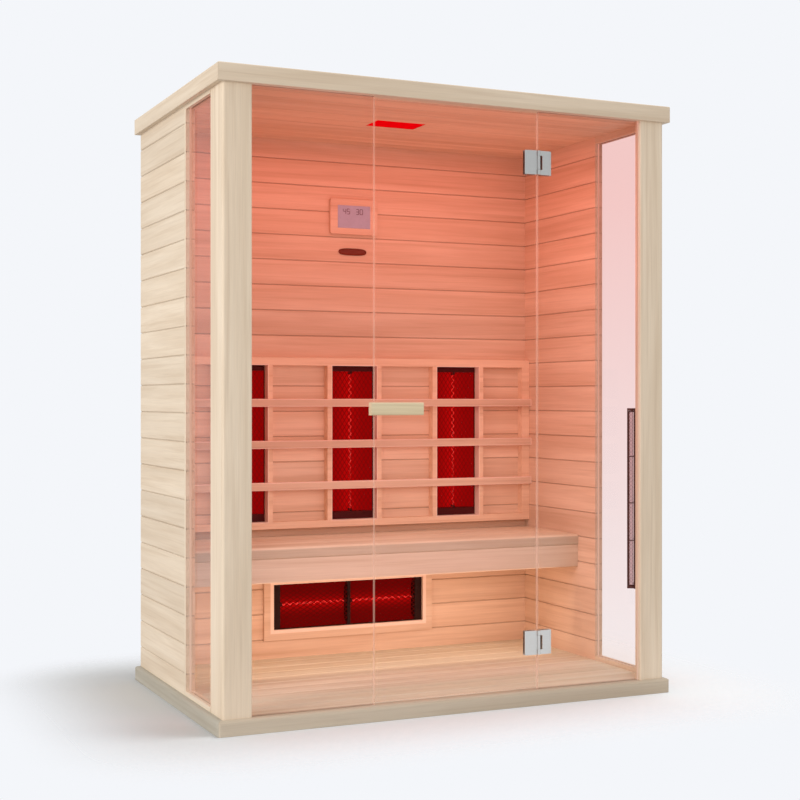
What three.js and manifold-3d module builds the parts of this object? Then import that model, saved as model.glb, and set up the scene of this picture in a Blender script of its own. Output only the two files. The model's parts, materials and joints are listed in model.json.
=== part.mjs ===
// Infrared sauna cabin: plank walls, a glass front with a hinged door, a bench and infrared heaters.
// Millimetres, +Z up, the glass front towards -Y, the origin under the middle of the base.

import * as THREE from 'three';
import { mergeVertices } from 'three/addons/utils/BufferGeometryUtils.js';
import Module from 'manifold-3d';

// Overall size, over the base and the roof
const cabinWidth = 1525;
const cabinDepth = 940;
const cabinHeight = 1900;

// Clearances
const fitGap = 0.3; // mitres, glass in its grooves, boards between walls
const boltGap = 0.4; // round a bolt or a dowel in its hole

// Base and floor
const baseHeight = 45;
const baseRailWidth = 45;
const baseEdgeRadius = 12;
const baseCornerRadius = 10;
const floorThickness = 18;
const floorBattenWidth = 40;
const floorBattenSpacing = 300;

// Walls: how far the base and roof reach past them, and what they are made of
const sideOverhang = 17.5;
const frontOverhang = 13;
const backOverhang = 15;
const sideWallThickness = 28;
const backWallThickness = 55;
const sideBoardThickness = 8;
const backBoardThickness = 10;
const frameMemberWidth = 40;
const boardPitch = 88.5;
const firstGrooveHeight = 67; // lowest groove above the base
const grooveWidth = 6;
const grooveDepth = 3;

// Front corner posts, L-shaped in plan
const postWidth = 88;
const postDepth = 117;
const postThickness = 28;
const postCornerRadius = 8;
const postEdgeRadius = 4;

// Side windows, between the posts and the plank walls
const windowLength = 248;
const windowSillHeight = 15;
const windowHeadHeight = 12;
const sideGlassThickness = 6;
const sideGlassSetback = 11; // behind the outer face of the wall
const sideGlassBite = 8; // depth of glass held in a groove

// Front panes and the door
const frontGlassThickness = 8;
const frontGlassSetback = 12; // behind the front face of the posts
const frontGlassBite = 10;
const frontGlassRise = 8; // into the base and the roof
const doorWidth = 552.5;
const doorFootGap = 7;
const doorHeadGap = 6;
const latchGap = 3;
const hingeGap = 4;
const hingeAxisX = 283.5;

// Glass-to-glass hinges
const hingeHeight = 75;
const hingeLeafWidth = 40.5;
const hingeLeafThickness = 6;
const hingeBevelWidth = 11;
const hingeEdgeThickness = 2;
const hingeKnuckleRadius = 5.5;
const hingeKnuckleHeight = 43; // the middle knuckle, on the door leaf
const hingeKnuckleGap = 0.5;
const hingePinRadius = 2.4;
const hingeSlotWidth = 7; // beside the middle knuckle, in the fixed leaf
const hingeRunningGap = 1;
const hingeBoltRadius = 5;
const hingeBoltSpacing = 36;
const lowerHingeHeight = 147; // hinge centre above the base
const upperHingeDrop = 159.5; // hinge centre below the roof

// Door handles, a pair bolted through the glass
const handleHeight = 38;
const handleThickness = 20;
const handleRadius = 4;
const handleCentreHeight = 922;
const handleReach = 151; // onto the door from its free edge
const handleOverlap = 20; // outer handle past the free edge
const handleInset = 9; // inner handle behind the free edge
const dowelRadius = 5;
const dowelSpacing = 95;

// Roof and ceiling
const roofHeight = 52;
const roofTopRadius = 4;
const roofFootRadius = 2;
const roofFrontDepth = 45;
const roofLedge = 10; // carries the front edge of the ceiling
const ceilingRise = 11; // ceiling above the underside of the roof rails
const ceilingThickness = 9;
const roofSheetThickness = 6;
const roofSheetDrop = 4; // sheet below the top of the rails
const roofBattenWidth = 30;
const roofBattenInset = 45; // middle of an outer batten from the edge of the sheet
const roofBattenSpacing = 600; // between the inner battens, past the light and the power unit

// Ceiling light
const lightX = -6;
const lightY = -10;
const lightLength = 175;
const lightWidth = 105;
const lightDepth = 22;
const lightWall = 2;
const lightFlange = 10;
const lightRecess = 1;
const lensThickness = 3;

// Power unit in the roof
const powerX = 150;
const powerY = 210;
const powerLength = 180;
const powerWidth = 110;
const powerHeight = 20;
const powerFoot = 12;
const powerFootThickness = 3;

// Bench
const seatTop = 473;
const seatThickness = 37;
const seatDepth = 382;
const seatNoseRadius = 12;
const seatBoardPitch = 95;
const apronHeight = 77;
const apronThickness = 22;
const apronSetback = 2;
const cleatSize = 30;
const cleatMargin = 20;

// Rear heaters, three upright openings in the back wall
const heaterX = 6; // middle heater
const heaterPitch = 412;
const heaterWidth = 172;
const heaterBottom = 524;
const heaterHeight = 545;
const heaterDepth = 38;
const heaterSheet = 2;
const heaterFlange = 10;
const heaterRecess = 2;
const topBlockHeight = 16;
const bottomBlockHeight = 24;
const blockDepth = 26;
const coilDepth = 16; // coil axis behind the front edge of the housing

// Net in front of a rear heater
const netThickness = 1.5;
const netBorder = 6;
const netStrand = 5;
const netColumns = 4;
const netRows = 8;

// Heating coil
const coilRadius = 4;
const coilPitch = 28;
const wireRadius = 1.5;
const wireSides = 5;
const stepsPerCurl = 8;

// Frame round the rear heaters, and the back rest bars in front of it
const stileWidth = 18;
const cornerStileWidth = 30;
const surroundDepth = 32;
const topRailHeight = 27;
const bottomRailHeight = 24;
const barHeight = 27.5;
const barThickness = 18;
const barPitch = 145;
const lowestBar = 648;
const barRadius = 3;

// Leg heater, below the bench
const legHeaterX = -2.5;
const legHeaterWidth = 575;
const legHeaterBottom = 145;
const legHeaterHeight = 158;
const legBlockWidth = 25;
const legDividerWidth = 12;
const legCoilHeight = 230;
const legFrameWidth = 36;
const legFrameThickness = 10;

// Corner emitters, behind the front posts
const emitterBottom = 335;
const emitterHeight = 586;
const emitterInset = 2;
const emitterPlate = 6;
const emitterPlateMargin = 6;
const emitterCap = 8;
const emitterRodRadius = 5;
const emitterRodReach = 13;
const guardReach = 28;
const guardWidth = 74;
const guardWire = 2.5;
const guardStep = 0.8; // ribs behind the face and ends of the bars
const guardRibs = [155, 277, 428]; // above the foot of the emitter
const guardBars = 4;

// Control panel on the back wall
const panelX = 12;
const panelDrop = 195.5; // top of the panel below the ceiling
const panelWidth = 182;
const panelHeight = 125;
const panelThickness = 12;
const panelRadius = 8;
const displayWidth = 125;
const displayHeight = 80;
const displayDepth = 4;
const displayProud = 0.5;

// Planes that several pieces share
const halfWidth = cabinWidth / 2;
const halfDepth = cabinDepth / 2;
const roofUnder = cabinHeight - roofHeight;
const ceilingUnder = roofUnder + ceilingRise;
const ceilingTop = ceilingUnder + ceilingThickness;
const wallOuterX = halfWidth - sideOverhang;
const wallInnerX = wallOuterX - sideWallThickness;
const innerBoardBackX = wallInnerX + sideBoardThickness;
const postFrontY = -halfDepth + frontOverhang;
const postBackY = postFrontY + postDepth;
const postInnerX = wallOuterX - postWidth;
const postInsideY = postFrontY + postThickness;
const windowBackY = postBackY + windowLength;
const backOuterY = halfDepth - backOverhang;
const backInnerY = backOuterY - backWallThickness;
const backBoardBackY = backInnerY + backBoardThickness;
const glassOuterY = postFrontY + frontGlassSetback;
const glassInnerY = glassOuterY + frontGlassThickness;
const hingeAxisY = glassOuterY - hingeLeafThickness;
const doorHingeX = hingeAxisX - hingeGap / 2;
const doorLatchX = doorHingeX - doorWidth;
const paneLeftEnd = doorLatchX - latchGap;
const paneRightStart = hingeAxisX + hingeGap / 2;
const sideGlassOuterX = wallOuterX - sideGlassSetback;
const sideGlassInnerX = sideGlassOuterX - sideGlassThickness;
const roofSideX = innerBoardBackX + fitGap;
const roofBackY = backBoardBackY + fitGap;
const roofFrontY = -halfDepth + roofFrontDepth;
const seatFrontY = backInnerY - seatDepth;
const seatUnder = seatTop - seatThickness;
const heaterTop = heaterBottom + heaterHeight;
const heaterPlaces = [heaterX - heaterPitch, heaterX, heaterX + heaterPitch];
const surroundFrontY = backInnerY - surroundDepth;
const panelBottom = ceilingUnder - panelDrop - panelHeight;
const hingePlaces = { lower: baseHeight + lowerHingeHeight, upper: roofUnder - upperHingeDrop };
const handleSpan = { start: doorLatchX - handleOverlap, end: doorLatchX + handleReach };
const dowelMiddle = doorLatchX + handleReach / 2;
const dowelPlaces = [dowelMiddle - dowelSpacing / 2, dowelMiddle + dowelSpacing / 2];
const hingeBoltX = hingeLeafWidth / 2 + hingeRunningGap;

// Colours and surfaces
const finishes = {
  paleWood: { color: 0xe8dabf, roughness: 0.62, metalness: 0 },
  warmWood: { color: 0xdcae8b, roughness: 0.62, metalness: 0 },
  handleWood: { color: 0xd6c7a8, roughness: 0.5, metalness: 0 },
  glass: { color: 0xf2dcdc, roughness: 0.04, metalness: 0, transparent: true, opacity: 0.25 },
  satinSteel: { color: 0xa6a6a1, roughness: 0.32, metalness: 0.9 },
  blackSteel: { color: 0x2a1f1e, roughness: 0.5, metalness: 0.6 },
  redNet: { color: 0x8c1410, roughness: 0.5, metalness: 0.5 },
  hotWire: { color: 0xdc2326, roughness: 0.5, metalness: 0.2, emissive: 0xdc2326 },
  redLens: { color: 0xe80808, roughness: 0.3, metalness: 0, emissive: 0xe80808 },
  display: { color: 0xa9a6d2, roughness: 0.25, metalness: 0 },
  greyMetal: { color: 0x9a9da0, roughness: 0.45, metalness: 0.8 },
};

const library = await Module();
library.setup();

// A closed solid from a three.js geometry
function solidOf(geometry) {
  geometry.deleteAttribute('normal');
  geometry.deleteAttribute('uv');
  const welded = mergeVertices(geometry, 1e-4);
  const vertProperties = new Float32Array(welded.attributes.position.array);
  const triVerts = new Uint32Array(welded.index.array);
  return new library.Manifold(new library.Mesh({ numProp: 3, vertProperties, triVerts }));
}

// A three.js geometry from a closed solid
function geometryOf(solid) {
  const { vertProperties, triVerts } = solid.getMesh();
  const geometry = new THREE.BufferGeometry();
  geometry.setAttribute('position', new THREE.BufferAttribute(vertProperties, 3));
  geometry.setIndex(new THREE.BufferAttribute(triVerts, 1));
  geometry.computeVertexNormals();
  return geometry;
}

// Puts every vertex where place(x, y, z) says
function reshape(geometry, place) {
  const position = geometry.attributes.position;
  for (let i = 0; i < position.count; i += 1) {
    position.setXYZ(i, ...place(position.getX(i), position.getY(i), position.getZ(i)));
  }
  return geometry;
}

function block(x0, x1, y0, y1, z0, z1) {
  const pick = (side, low, high) => (side < 0 ? low : high);
  const cube = new THREE.BoxGeometry(1, 1, 1);
  return solidOf(reshape(cube, (x, y, z) => [pick(x, x0, x1), pick(y, y0, y1), pick(z, z0, z1)]));
}

function extruded(points, holes = []) {
  const shape = new THREE.Shape(points.map(([u, v]) => new THREE.Vector2(u, v)));
  shape.holes = holes.map((hole) => new THREE.Path(hole.map(([u, v]) => new THREE.Vector2(u, v))));
  return new THREE.ExtrudeGeometry(shape, { depth: 1, bevelEnabled: false });
}

// Prisms along X, Y and Z from outlines in (y, z), (x, z) and (x, y)
function prismX(points, x0, x1) {
  return solidOf(reshape(extruded(points), (u, v, w) => [w < 0.5 ? x0 : x1, u, v]));
}

function prismY(points, y0, y1, holes = []) {
  return solidOf(reshape(extruded(points, holes), (u, v, w) => [u, w < 0.5 ? y1 : y0, v]));
}

function prismZ(points, z0, z1) {
  return solidOf(reshape(extruded(points), (u, v, w) => [u, v, w < 0.5 ? z0 : z1]));
}

// Points on an arc, angles in degrees
function arc(u, v, radius, from, to, steps = 4) {
  return Array.from({ length: steps + 1 }, (unused, i) => {
    const angle = THREE.MathUtils.degToRad(from + ((to - from) * i) / steps);
    return [u + radius * Math.cos(angle), v + radius * Math.sin(angle)];
  });
}

// A rectangle whose corners are rounded, in the order foot start, foot end, head end, head start
function roundedRectangle(u0, u1, v0, v1, radii) {
  const corners = [[u0, v0, 180], [u1, v0, 270], [u1, v1, 0], [u0, v1, 90]];
  return corners.flatMap(([u, v, from], i) => {
    const radius = radii[i];
    if (radius === 0) return [[u, v]];
    const centreU = u === u0 ? u0 + radius : u1 - radius;
    const centreV = v === v0 ? v0 + radius : v1 - radius;
    return arc(centreU, centreV, radius, from, from + 90);
  });
}

function circle(u, v, radius, sides = 16) {
  return arc(u, v, radius, 0, 360 - 360 / sides, sides - 1);
}

function cylinderY(x, z, radius, y0, y1) {
  return prismY(circle(x, z, radius, 12), y0, y1);
}

function joined(first, ...others) {
  return others.reduce((whole, other) => whole.add(other), first);
}

function cut(first, ...others) {
  return others.reduce((whole, other) => whole.subtract(other), first);
}

// Levels of the board grooves between two heights
function grooveLevels(from, to) {
  const levels = [];
  for (let z = baseHeight + firstGrooveHeight; z < to - grooveWidth; z += boardPitch) {
    if (z > from + grooveWidth) levels.push(z);
  }
  return levels;
}

// Grooves at an even pitch, starting half a board from the first edge
function evenGrooves(from, to, pitch) {
  const count = Math.max(1, Math.round((to - from) / pitch));
  return Array.from({ length: count - 1 }, (unused, i) => from + ((to - from) * (i + 1)) / count);
}

// Section of tongue-and-groove boards: V grooves in the face, a plain back, as (across, along)
function boardSection(face, back, from, to, grooves) {
  const inward = Math.sign(back - face);
  const notches = grooves.flatMap((at) => [
    [face, at - grooveWidth / 2],
    [face + inward * grooveDepth, at],
    [face, at + grooveWidth / 2],
  ]);
  return [[face, from], ...notches, [face, to], [back, to], [back, from]];
}

const swapped = (points) => points.map(([u, v]) => [v, u]);

const cabin = new THREE.Group();
const doorLeaf = new THREE.Group();
doorLeaf.position.set(hingeAxisX, hingeAxisY, 0);
cabin.add(doorLeaf);

function addPiece(parent, name, solid, finish) {
  const mesh = new THREE.Mesh(geometryOf(solid), new THREE.MeshStandardMaterial(finishes[finish]));
  mesh.name = name;
  parent.add(mesh);
  return mesh;
}

// The same piece on the left, moved to its place there, and as its mirror image on the right
function addPair(name, solid, finish, place = (x, y, z) => [x, y, z]) {
  const left = addPiece(cabin, `left_${name}`, solid, finish);
  reshape(left.geometry, place);
  left.geometry.computeVertexNormals();
  const right = addPiece(cabin, `right_${name}`, solid, finish);
  reshape(right.geometry, (...point) => {
    const [x, y, z] = place(...point);
    return [-x, y, z];
  });
  const triangles = right.geometry.index.array;
  for (let i = 0; i < triangles.length; i += 3) {
    [triangles[i], triangles[i + 1]] = [triangles[i + 1], triangles[i]];
  }
  right.geometry.computeVertexNormals();
}

// Four mitred rails cut from one block: the outlines in plan of the front, back and left rails
function railOutlines(insideX, insideFrontY, insideBackY) {
  const across = (outerY, innerY) => [
    [-halfWidth + fitGap, outerY],
    [halfWidth - fitGap, outerY],
    [insideX - fitGap, innerY],
    [-insideX + fitGap, innerY],
  ];
  return {
    front: across(-halfDepth, insideFrontY),
    back: across(halfDepth, insideBackY),
    left: [
      [-halfWidth, -halfDepth],
      [-insideX, insideFrontY],
      [-insideX, insideBackY],
      [-halfWidth, halfDepth],
    ],
  };
}

// Grooves that hold the two fixed front panes, from z0 to z1
function paneGrooves(z0, z1) {
  const front = glassOuterY - fitGap;
  const back = glassInnerY + fitGap;
  const end = postInnerX + frontGlassBite + fitGap;
  return [
    block(-end, paneLeftEnd + fitGap, front, back, z0, z1),
    block(paneRightStart - fitGap, end, front, back, z0, z1),
  ];
}

function buildBase() {
  const radius = baseEdgeRadius;
  const corner = baseCornerRadius;
  const across = roundedRectangle(-halfWidth, halfWidth, 0, baseHeight, [0, 0, radius, radius]);
  const along = roundedRectangle(-halfDepth, halfDepth, 0, baseHeight, [0, 0, radius, radius]);
  const corners = [corner, corner, corner, corner];
  const plan = roundedRectangle(-halfWidth, halfWidth, -halfDepth, halfDepth, corners);
  const whole = prismY(across, -halfDepth, halfDepth)
    .intersect(prismX(along, -halfWidth, halfWidth))
    .intersect(prismZ(plan, 0, baseHeight));
  const railX = halfWidth - baseRailWidth;
  const railY = halfDepth - baseRailWidth;
  const rails = railOutlines(railX, -railY, railY);
  const part = (outline) => whole.intersect(prismZ(outline, 0, baseHeight));
  const grooves = paneGrooves(baseHeight - frontGlassRise - fitGap, baseHeight);
  addPiece(cabin, 'base_front_rail', cut(part(rails.front), ...grooves), 'paleWood');
  addPiece(cabin, 'base_back_rail', part(rails.back), 'paleWood');
  addPair('base_rail', part(rails.left), 'paleWood');
}

// Floor boards on battens that reach the ground
function buildFloor() {
  const railX = halfWidth - baseRailWidth - fitGap;
  const edgeX = Math.min(railX, wallInnerX - fitGap);
  const edgeY = halfDepth - baseRailWidth - fitGap;
  const under = baseHeight - floorThickness;
  const grooves = evenGrooves(-edgeY, edgeY, boardPitch);
  const boards = prismX(swapped(boardSection(baseHeight, under, -edgeY, edgeY, grooves)), -edgeX, edgeX);
  const battens = [-floorBattenSpacing, 0, floorBattenSpacing].map((y) => {
    const half = floorBattenWidth / 2;
    return block(-railX, railX, y - half, y + half, 0, under + fitGap);
  });
  addPiece(cabin, 'floor_boards', joined(boards, ...battens), 'warmWood');
}

function buildPosts() {
  const grooveFront = glassOuterY - fitGap;
  const grooveBack = glassInnerY + fitGap;
  const grooveEnd = -postInnerX - frontGlassBite - fitGap;
  const sideGrooveEnd = postBackY - sideGlassBite - fitGap;
  const sideOuter = -sideGlassOuterX - fitGap;
  const sideInner = -sideGlassInnerX + fitGap;
  const corner = postCornerRadius;
  const edge = postEdgeRadius;
  const outline = [
    ...arc(-wallOuterX + corner, postFrontY + corner, corner, 180, 270),
    ...arc(-postInnerX - edge, postFrontY + edge, edge, 270, 360, 3),
    [-postInnerX, grooveFront],
    [grooveEnd, grooveFront],
    [grooveEnd, grooveBack],
    [-postInnerX, grooveBack],
    [-postInnerX, postInsideY],
    [-wallInnerX, postInsideY],
    [-wallInnerX, postBackY],
    [sideInner, postBackY],
    [sideInner, sideGrooveEnd],
    [sideOuter, sideGrooveEnd],
    [sideOuter, postBackY],
    ...arc(-wallOuterX + edge, postBackY - edge, edge, 90, 180, 3),
  ];
  addPair('front_post', prismZ(outline, baseHeight, roofUnder), 'paleWood');
}

// Outer boards on a frame of battens, with the sill and the head of the side window
function buildSideWalls() {
  const frameInner = -innerBoardBackX;
  const frameOuter = -wallOuterX + sideBoardThickness - fitGap;
  const member = frameMemberWidth;
  const levels = grooveLevels(baseHeight, roofUnder);
  const section = boardSection(
    -wallOuterX, -wallOuterX + sideBoardThickness, baseHeight, roofUnder, levels);
  const boards = prismY(section, windowBackY, backOuterY);
  const upright = (y) => block(frameOuter, frameInner, y, y + member, baseHeight, roofUnder);
  const level = (z) => block(frameOuter, frameInner, windowBackY, backOuterY, z, z + member);
  const middle = (windowBackY + backOuterY - member) / 2;
  const frame = [
    upright(windowBackY), upright(middle), upright(backOuterY - member),
    level(baseHeight), level(roofUnder - member),
  ];
  const sillTop = baseHeight + windowSillHeight;
  const headUnder = roofUnder - windowHeadHeight;
  const bar = (z0, z1) => joined(
    block(-wallOuterX, -wallInnerX, postBackY, windowBackY, z0, z1),
    block(-wallOuterX, frameInner, postBackY, windowBackY + sideGlassBite, z0, z1));
  const lip = block(frameInner, -wallInnerX, postBackY, windowBackY, headUnder, ceilingUnder);
  const glassSlot = block(
    -sideGlassOuterX - fitGap, -sideGlassInnerX + fitGap,
    postBackY - fitGap, windowBackY + sideGlassBite + fitGap,
    sillTop - sideGlassBite - fitGap, headUnder + sideGlassBite + fitGap);
  const wall = joined(boards, ...frame, bar(baseHeight, sillTop), bar(headUnder, roofUnder), lip);
  addPair('wall_outer', cut(wall, glassSlot), 'paleWood');

  const innerSection = boardSection(
    -wallInnerX, frameInner, baseHeight, ceilingUnder, grooveLevels(baseHeight, ceilingUnder));
  addPair('wall_inner_boards', prismY(innerSection, windowBackY, backInnerY), 'warmWood');

  const glass = block(
    -sideGlassOuterX, -sideGlassInnerX, postBackY - sideGlassBite, windowBackY + sideGlassBite,
    sillTop - sideGlassBite, headUnder + sideGlassBite);
  addPair('side_glass', glass, 'glass');
}

// Inner boards with the heater openings, and outer boards on studs that pass between the heaters
function buildBackWall() {
  const edgeX = innerBoardBackX;
  const legStart = legHeaterX - legHeaterWidth / 2;
  const legTop = legHeaterBottom + legHeaterHeight;
  const innerSection = boardSection(
    backInnerY, backBoardBackY, baseHeight, ceilingUnder, grooveLevels(baseHeight, ceilingUnder));
  const openings = heaterPlaces.map((x) => {
    const half = heaterWidth / 2;
    return block(x - half, x + half, backInnerY - 1, backBoardBackY + 1, heaterBottom, heaterTop);
  });
  const legOpening = block(
    legStart, legStart + legHeaterWidth, backInnerY - 1, backBoardBackY + 1, legHeaterBottom, legTop);
  const inner = cut(prismX(innerSection, -edgeX, edgeX), ...openings, legOpening);
  addPiece(cabin, 'back_wall_inner_boards', inner, 'warmWood');

  const member = frameMemberWidth;
  const boardFaceY = backOuterY - backBoardThickness;
  const frameBackY = boardFaceY + fitGap;
  const outerSection = boardSection(
    backOuterY, boardFaceY, baseHeight, roofUnder, grooveLevels(baseHeight, roofUnder));
  const rail = (z) => block(-edgeX, edgeX, backBoardBackY, frameBackY, z, z + member);
  const stud = (x, z0) => block(x - member / 2, x + member / 2, backBoardBackY, frameBackY, z0, roofUnder);
  const middleRail = (legTop + heaterBottom - member) / 2;
  const outer = joined(
    prismX(outerSection, -edgeX, edgeX),
    rail(baseHeight), rail(middleRail), rail(roofUnder - member),
    stud(-edgeX + member / 2, baseHeight), stud(edgeX - member / 2, baseHeight),
    stud(heaterX - heaterPitch / 2, middleRail), stud(heaterX + heaterPitch / 2, middleRail));
  addPiece(cabin, 'back_wall_outer', outer, 'paleWood');
}

function buildRoof() {
  const head = roofTopRadius;
  const foot = roofFootRadius;
  const radii = [foot, foot, head, head];
  const across = roundedRectangle(-halfWidth, halfWidth, roofUnder, cabinHeight, radii);
  const along = roundedRectangle(-halfDepth, halfDepth, roofUnder, cabinHeight, radii);
  const whole = prismY(across, -halfDepth, halfDepth).intersect(prismX(along, -halfWidth, halfWidth));
  const rails = railOutlines(roofSideX, roofFrontY, roofBackY);
  const part = (outline) => whole.intersect(prismZ(outline, roofUnder, cabinHeight));
  const ledgeY = roofFrontY - roofLedge;
  const rebate = block(-roofSideX, roofSideX, ledgeY, roofFrontY, ceilingUnder, cabinHeight);
  const grooves = paneGrooves(roofUnder, roofUnder + frontGlassRise + fitGap);
  addPiece(cabin, 'roof_front_rail', cut(part(rails.front), rebate, ...grooves), 'paleWood');
  addPiece(cabin, 'roof_back_rail', part(rails.back), 'paleWood');
  addPair('roof_rail', part(rails.left), 'paleWood');

  const edgeX = innerBoardBackX;
  const frontY = ledgeY + fitGap;
  const grooveRows = evenGrooves(frontY, backBoardBackY, boardPitch);
  const ceilingSection = boardSection(ceilingUnder, ceilingTop, frontY, backBoardBackY, grooveRows);
  const lightOpening = block(
    lightX - lightLength / 2, lightX + lightLength / 2,
    lightY - lightWidth / 2, lightY + lightWidth / 2, ceilingUnder - 1, ceilingTop + 1);
  const ceiling = cut(prismX(swapped(ceilingSection), -edgeX, edgeX), lightOpening);
  addPiece(cabin, 'ceiling_boards', ceiling, 'warmWood');

  const sheetTop = cabinHeight - roofSheetDrop;
  const sheetUnder = sheetTop - roofSheetThickness;
  const outerBatten = edgeX - roofBattenInset;
  const innerBatten = roofBattenSpacing / 2;
  const battens = [-outerBatten, -innerBatten, innerBatten, outerBatten].map((x) => {
    const half = roofBattenWidth / 2;
    return block(x - half, x + half, frontY, backBoardBackY, ceilingTop, sheetUnder + fitGap);
  });
  const sheet = block(-edgeX, edgeX, frontY, backBoardBackY, sheetUnder, sheetTop);
  addPiece(cabin, 'roof_sheet', joined(sheet, ...battens), 'paleWood');
}

// A light box let into the ceiling, hung on its flange, with a red lens
function buildCeilingLight() {
  const tray = (shrink, z0, z1) => block(
    lightX - lightLength / 2 + shrink, lightX + lightLength / 2 - shrink,
    lightY - lightWidth / 2 + shrink, lightY + lightWidth / 2 - shrink, z0, z1);
  const foot = ceilingUnder + lightRecess;
  const head = foot + lightDepth;
  const inside = fitGap + lightWall;
  const flange = cut(
    tray(-lightFlange, ceilingTop, ceilingTop + lightWall),
    tray(inside, ceilingTop - 1, ceilingTop + lightWall + 1));
  const housing = cut(joined(tray(fitGap, foot, head), flange), tray(inside, foot - 1, head - lightWall));
  addPiece(cabin, 'ceiling_light_housing', housing, 'greyMetal');
  const lens = tray(inside + fitGap, foot, foot + lensThickness);
  addPiece(cabin, 'ceiling_light_lens', lens, 'redLens');
}

function buildPowerUnit() {
  const box = (grow, z0, z1) => block(
    powerX - powerLength / 2 - grow, powerX + powerLength / 2 + grow,
    powerY - powerWidth / 2, powerY + powerWidth / 2, z0, z1);
  const unit = joined(
    box(0, ceilingTop, ceilingTop + powerHeight),
    box(powerFoot, ceilingTop, ceilingTop + powerFootThickness));
  addPiece(cabin, 'power_unit', unit, 'greyMetal');
}

// Holes for the bolts of a hinge leaf, side -1 in the door and 1 in the fixed pane
function hingeHoles(side) {
  return Object.values(hingePlaces).flatMap((centre) => [-1, 1].map((row) => cylinderY(
    hingeAxisX + side * (hingeBoltX + hingeKnuckleRadius), centre + (row * hingeBoltSpacing) / 2,
    hingeBoltRadius + boltGap, glassOuterY - 1, glassInnerY + 1)));
}

function buildFrontPanes() {
  const foot = baseHeight - frontGlassRise;
  const head = roofUnder + frontGlassRise;
  const end = postInnerX + frontGlassBite;
  const left = block(-end, paneLeftEnd, glassOuterY, glassInnerY, foot, head);
  const right = block(paneRightStart, end, glassOuterY, glassInnerY, foot, head);
  addPiece(cabin, 'front_left_glass', left, 'glass');
  addPiece(cabin, 'front_right_glass', cut(right, ...hingeHoles(1)), 'glass');
}

// Pieces of the door are made in the cabin's place and moved into the frame of the hinge axis
function addDoorPiece(name, solid, finish) {
  const piece = addPiece(doorLeaf, name, solid, finish);
  reshape(piece.geometry, (x, y, z) => [x - hingeAxisX, y - hingeAxisY, z]);
}

function buildDoor() {
  const foot = baseHeight + doorFootGap;
  const head = roofUnder - doorHeadGap;
  const holes = dowelPlaces.map((x) => cylinderY(
    x, handleCentreHeight, dowelRadius + boltGap, glassOuterY - 1, glassInnerY + 1));
  const pane = block(doorLatchX, doorHingeX, glassOuterY, glassInnerY, foot, head);
  addDoorPiece('door_glass', cut(pane, ...hingeHoles(-1), ...holes), 'glass');

  const low = handleCentreHeight - handleHeight / 2;
  const high = handleCentreHeight + handleHeight / 2;
  const r = handleRadius;
  const outerBackY = glassOuterY - fitGap;
  const innerFrontY = glassInnerY + fitGap;
  const outerSection = roundedRectangle(outerBackY - handleThickness, outerBackY, low, high, [r, 0, 0, r]);
  const innerSection = roundedRectangle(innerFrontY, innerFrontY + handleThickness, low, high, [0, r, r, 0]);
  const dowels = dowelPlaces.map((x) => cylinderY(
    x, handleCentreHeight, dowelRadius, outerBackY - fitGap, innerFrontY));
  const outer = joined(prismX(outerSection, handleSpan.start, handleSpan.end), ...dowels);
  addDoorPiece('door_handle_outer', outer, 'handleWood');
  const inner = prismX(innerSection, doorLatchX + handleInset, handleSpan.end);
  addDoorPiece('door_handle_inner', inner, 'handleWood');
}

// Plates of a hinge leaf on both faces of the glass, bolted together through it
function hingePlates(side, centre) {
  const low = centre - hingeHeight / 2;
  const high = centre + hingeHeight / 2;
  const near = hingeKnuckleRadius + hingeRunningGap;
  const far = near + hingeLeafWidth;
  const at = (distance) => hingeAxisX + side * distance;
  const bevelled = [
    [at(near), glassOuterY],
    [at(near), hingeAxisY],
    [at(far - hingeBevelWidth), hingeAxisY],
    [at(far), glassOuterY - hingeEdgeThickness],
    [at(far), glassOuterY],
  ];
  const inside = [
    [at(near), glassInnerY],
    [at(far), glassInnerY],
    [at(far), glassInnerY + hingeEdgeThickness],
    [at(far - hingeBevelWidth), glassInnerY + hingeLeafThickness],
    [at(near), glassInnerY + hingeLeafThickness],
  ];
  const bolts = [-1, 1].map((row) => cylinderY(
    at(hingeBoltX + hingeKnuckleRadius), centre + (row * hingeBoltSpacing) / 2,
    hingeBoltRadius, glassOuterY - 1, glassInnerY + 1));
  return joined(prismZ(bevelled, low, high), prismZ(inside, low, high), ...bolts);
}

// A knuckle round the hinge axis with the web that carries it
function knuckle(side, z0, z1) {
  const reach = hingeKnuckleRadius + hingeRunningGap + 1;
  const webBack = glassOuterY - hingeKnuckleGap;
  const ends = [hingeAxisX, hingeAxisX + side * reach].sort((a, b) => a - b);
  const barrel = prismZ(circle(hingeAxisX, hingeAxisY, hingeKnuckleRadius), z0, z1);
  return joined(barrel, block(ends[0], ends[1], hingeAxisY, webBack, z0, z1));
}

function buildHinges() {
  for (const [level, centre] of Object.entries(hingePlaces)) {
    const low = centre - hingeHeight / 2;
    const high = centre + hingeHeight / 2;
    const half = hingeKnuckleHeight / 2;
    const pinHole = prismZ(circle(hingeAxisX, hingeAxisY, hingePinRadius + boltGap), low, high);
    const middle = cut(knuckle(-1, centre - half, centre + half), pinHole);
    addDoorPiece(`${level}_hinge_door_leaf`, joined(hingePlates(-1, centre), middle), 'satinSteel');

    const clear = half + hingeKnuckleGap;
    const slotStart = hingeAxisX + hingeKnuckleRadius;
    const slot = block(
      slotStart, slotStart + hingeRunningGap + hingeSlotWidth,
      hingeAxisY - 1, glassOuterY, centre - clear, centre + clear);
    const pin = prismZ(circle(hingeAxisX, hingeAxisY, hingePinRadius), low, high);
    const fixed = joined(
      cut(hingePlates(1, centre), slot),
      knuckle(1, low, centre - clear), knuckle(1, centre + clear, high), pin);
    addPiece(cabin, `${level}_hinge_fixed_leaf`, fixed, 'satinSteel');
  }
}

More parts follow.
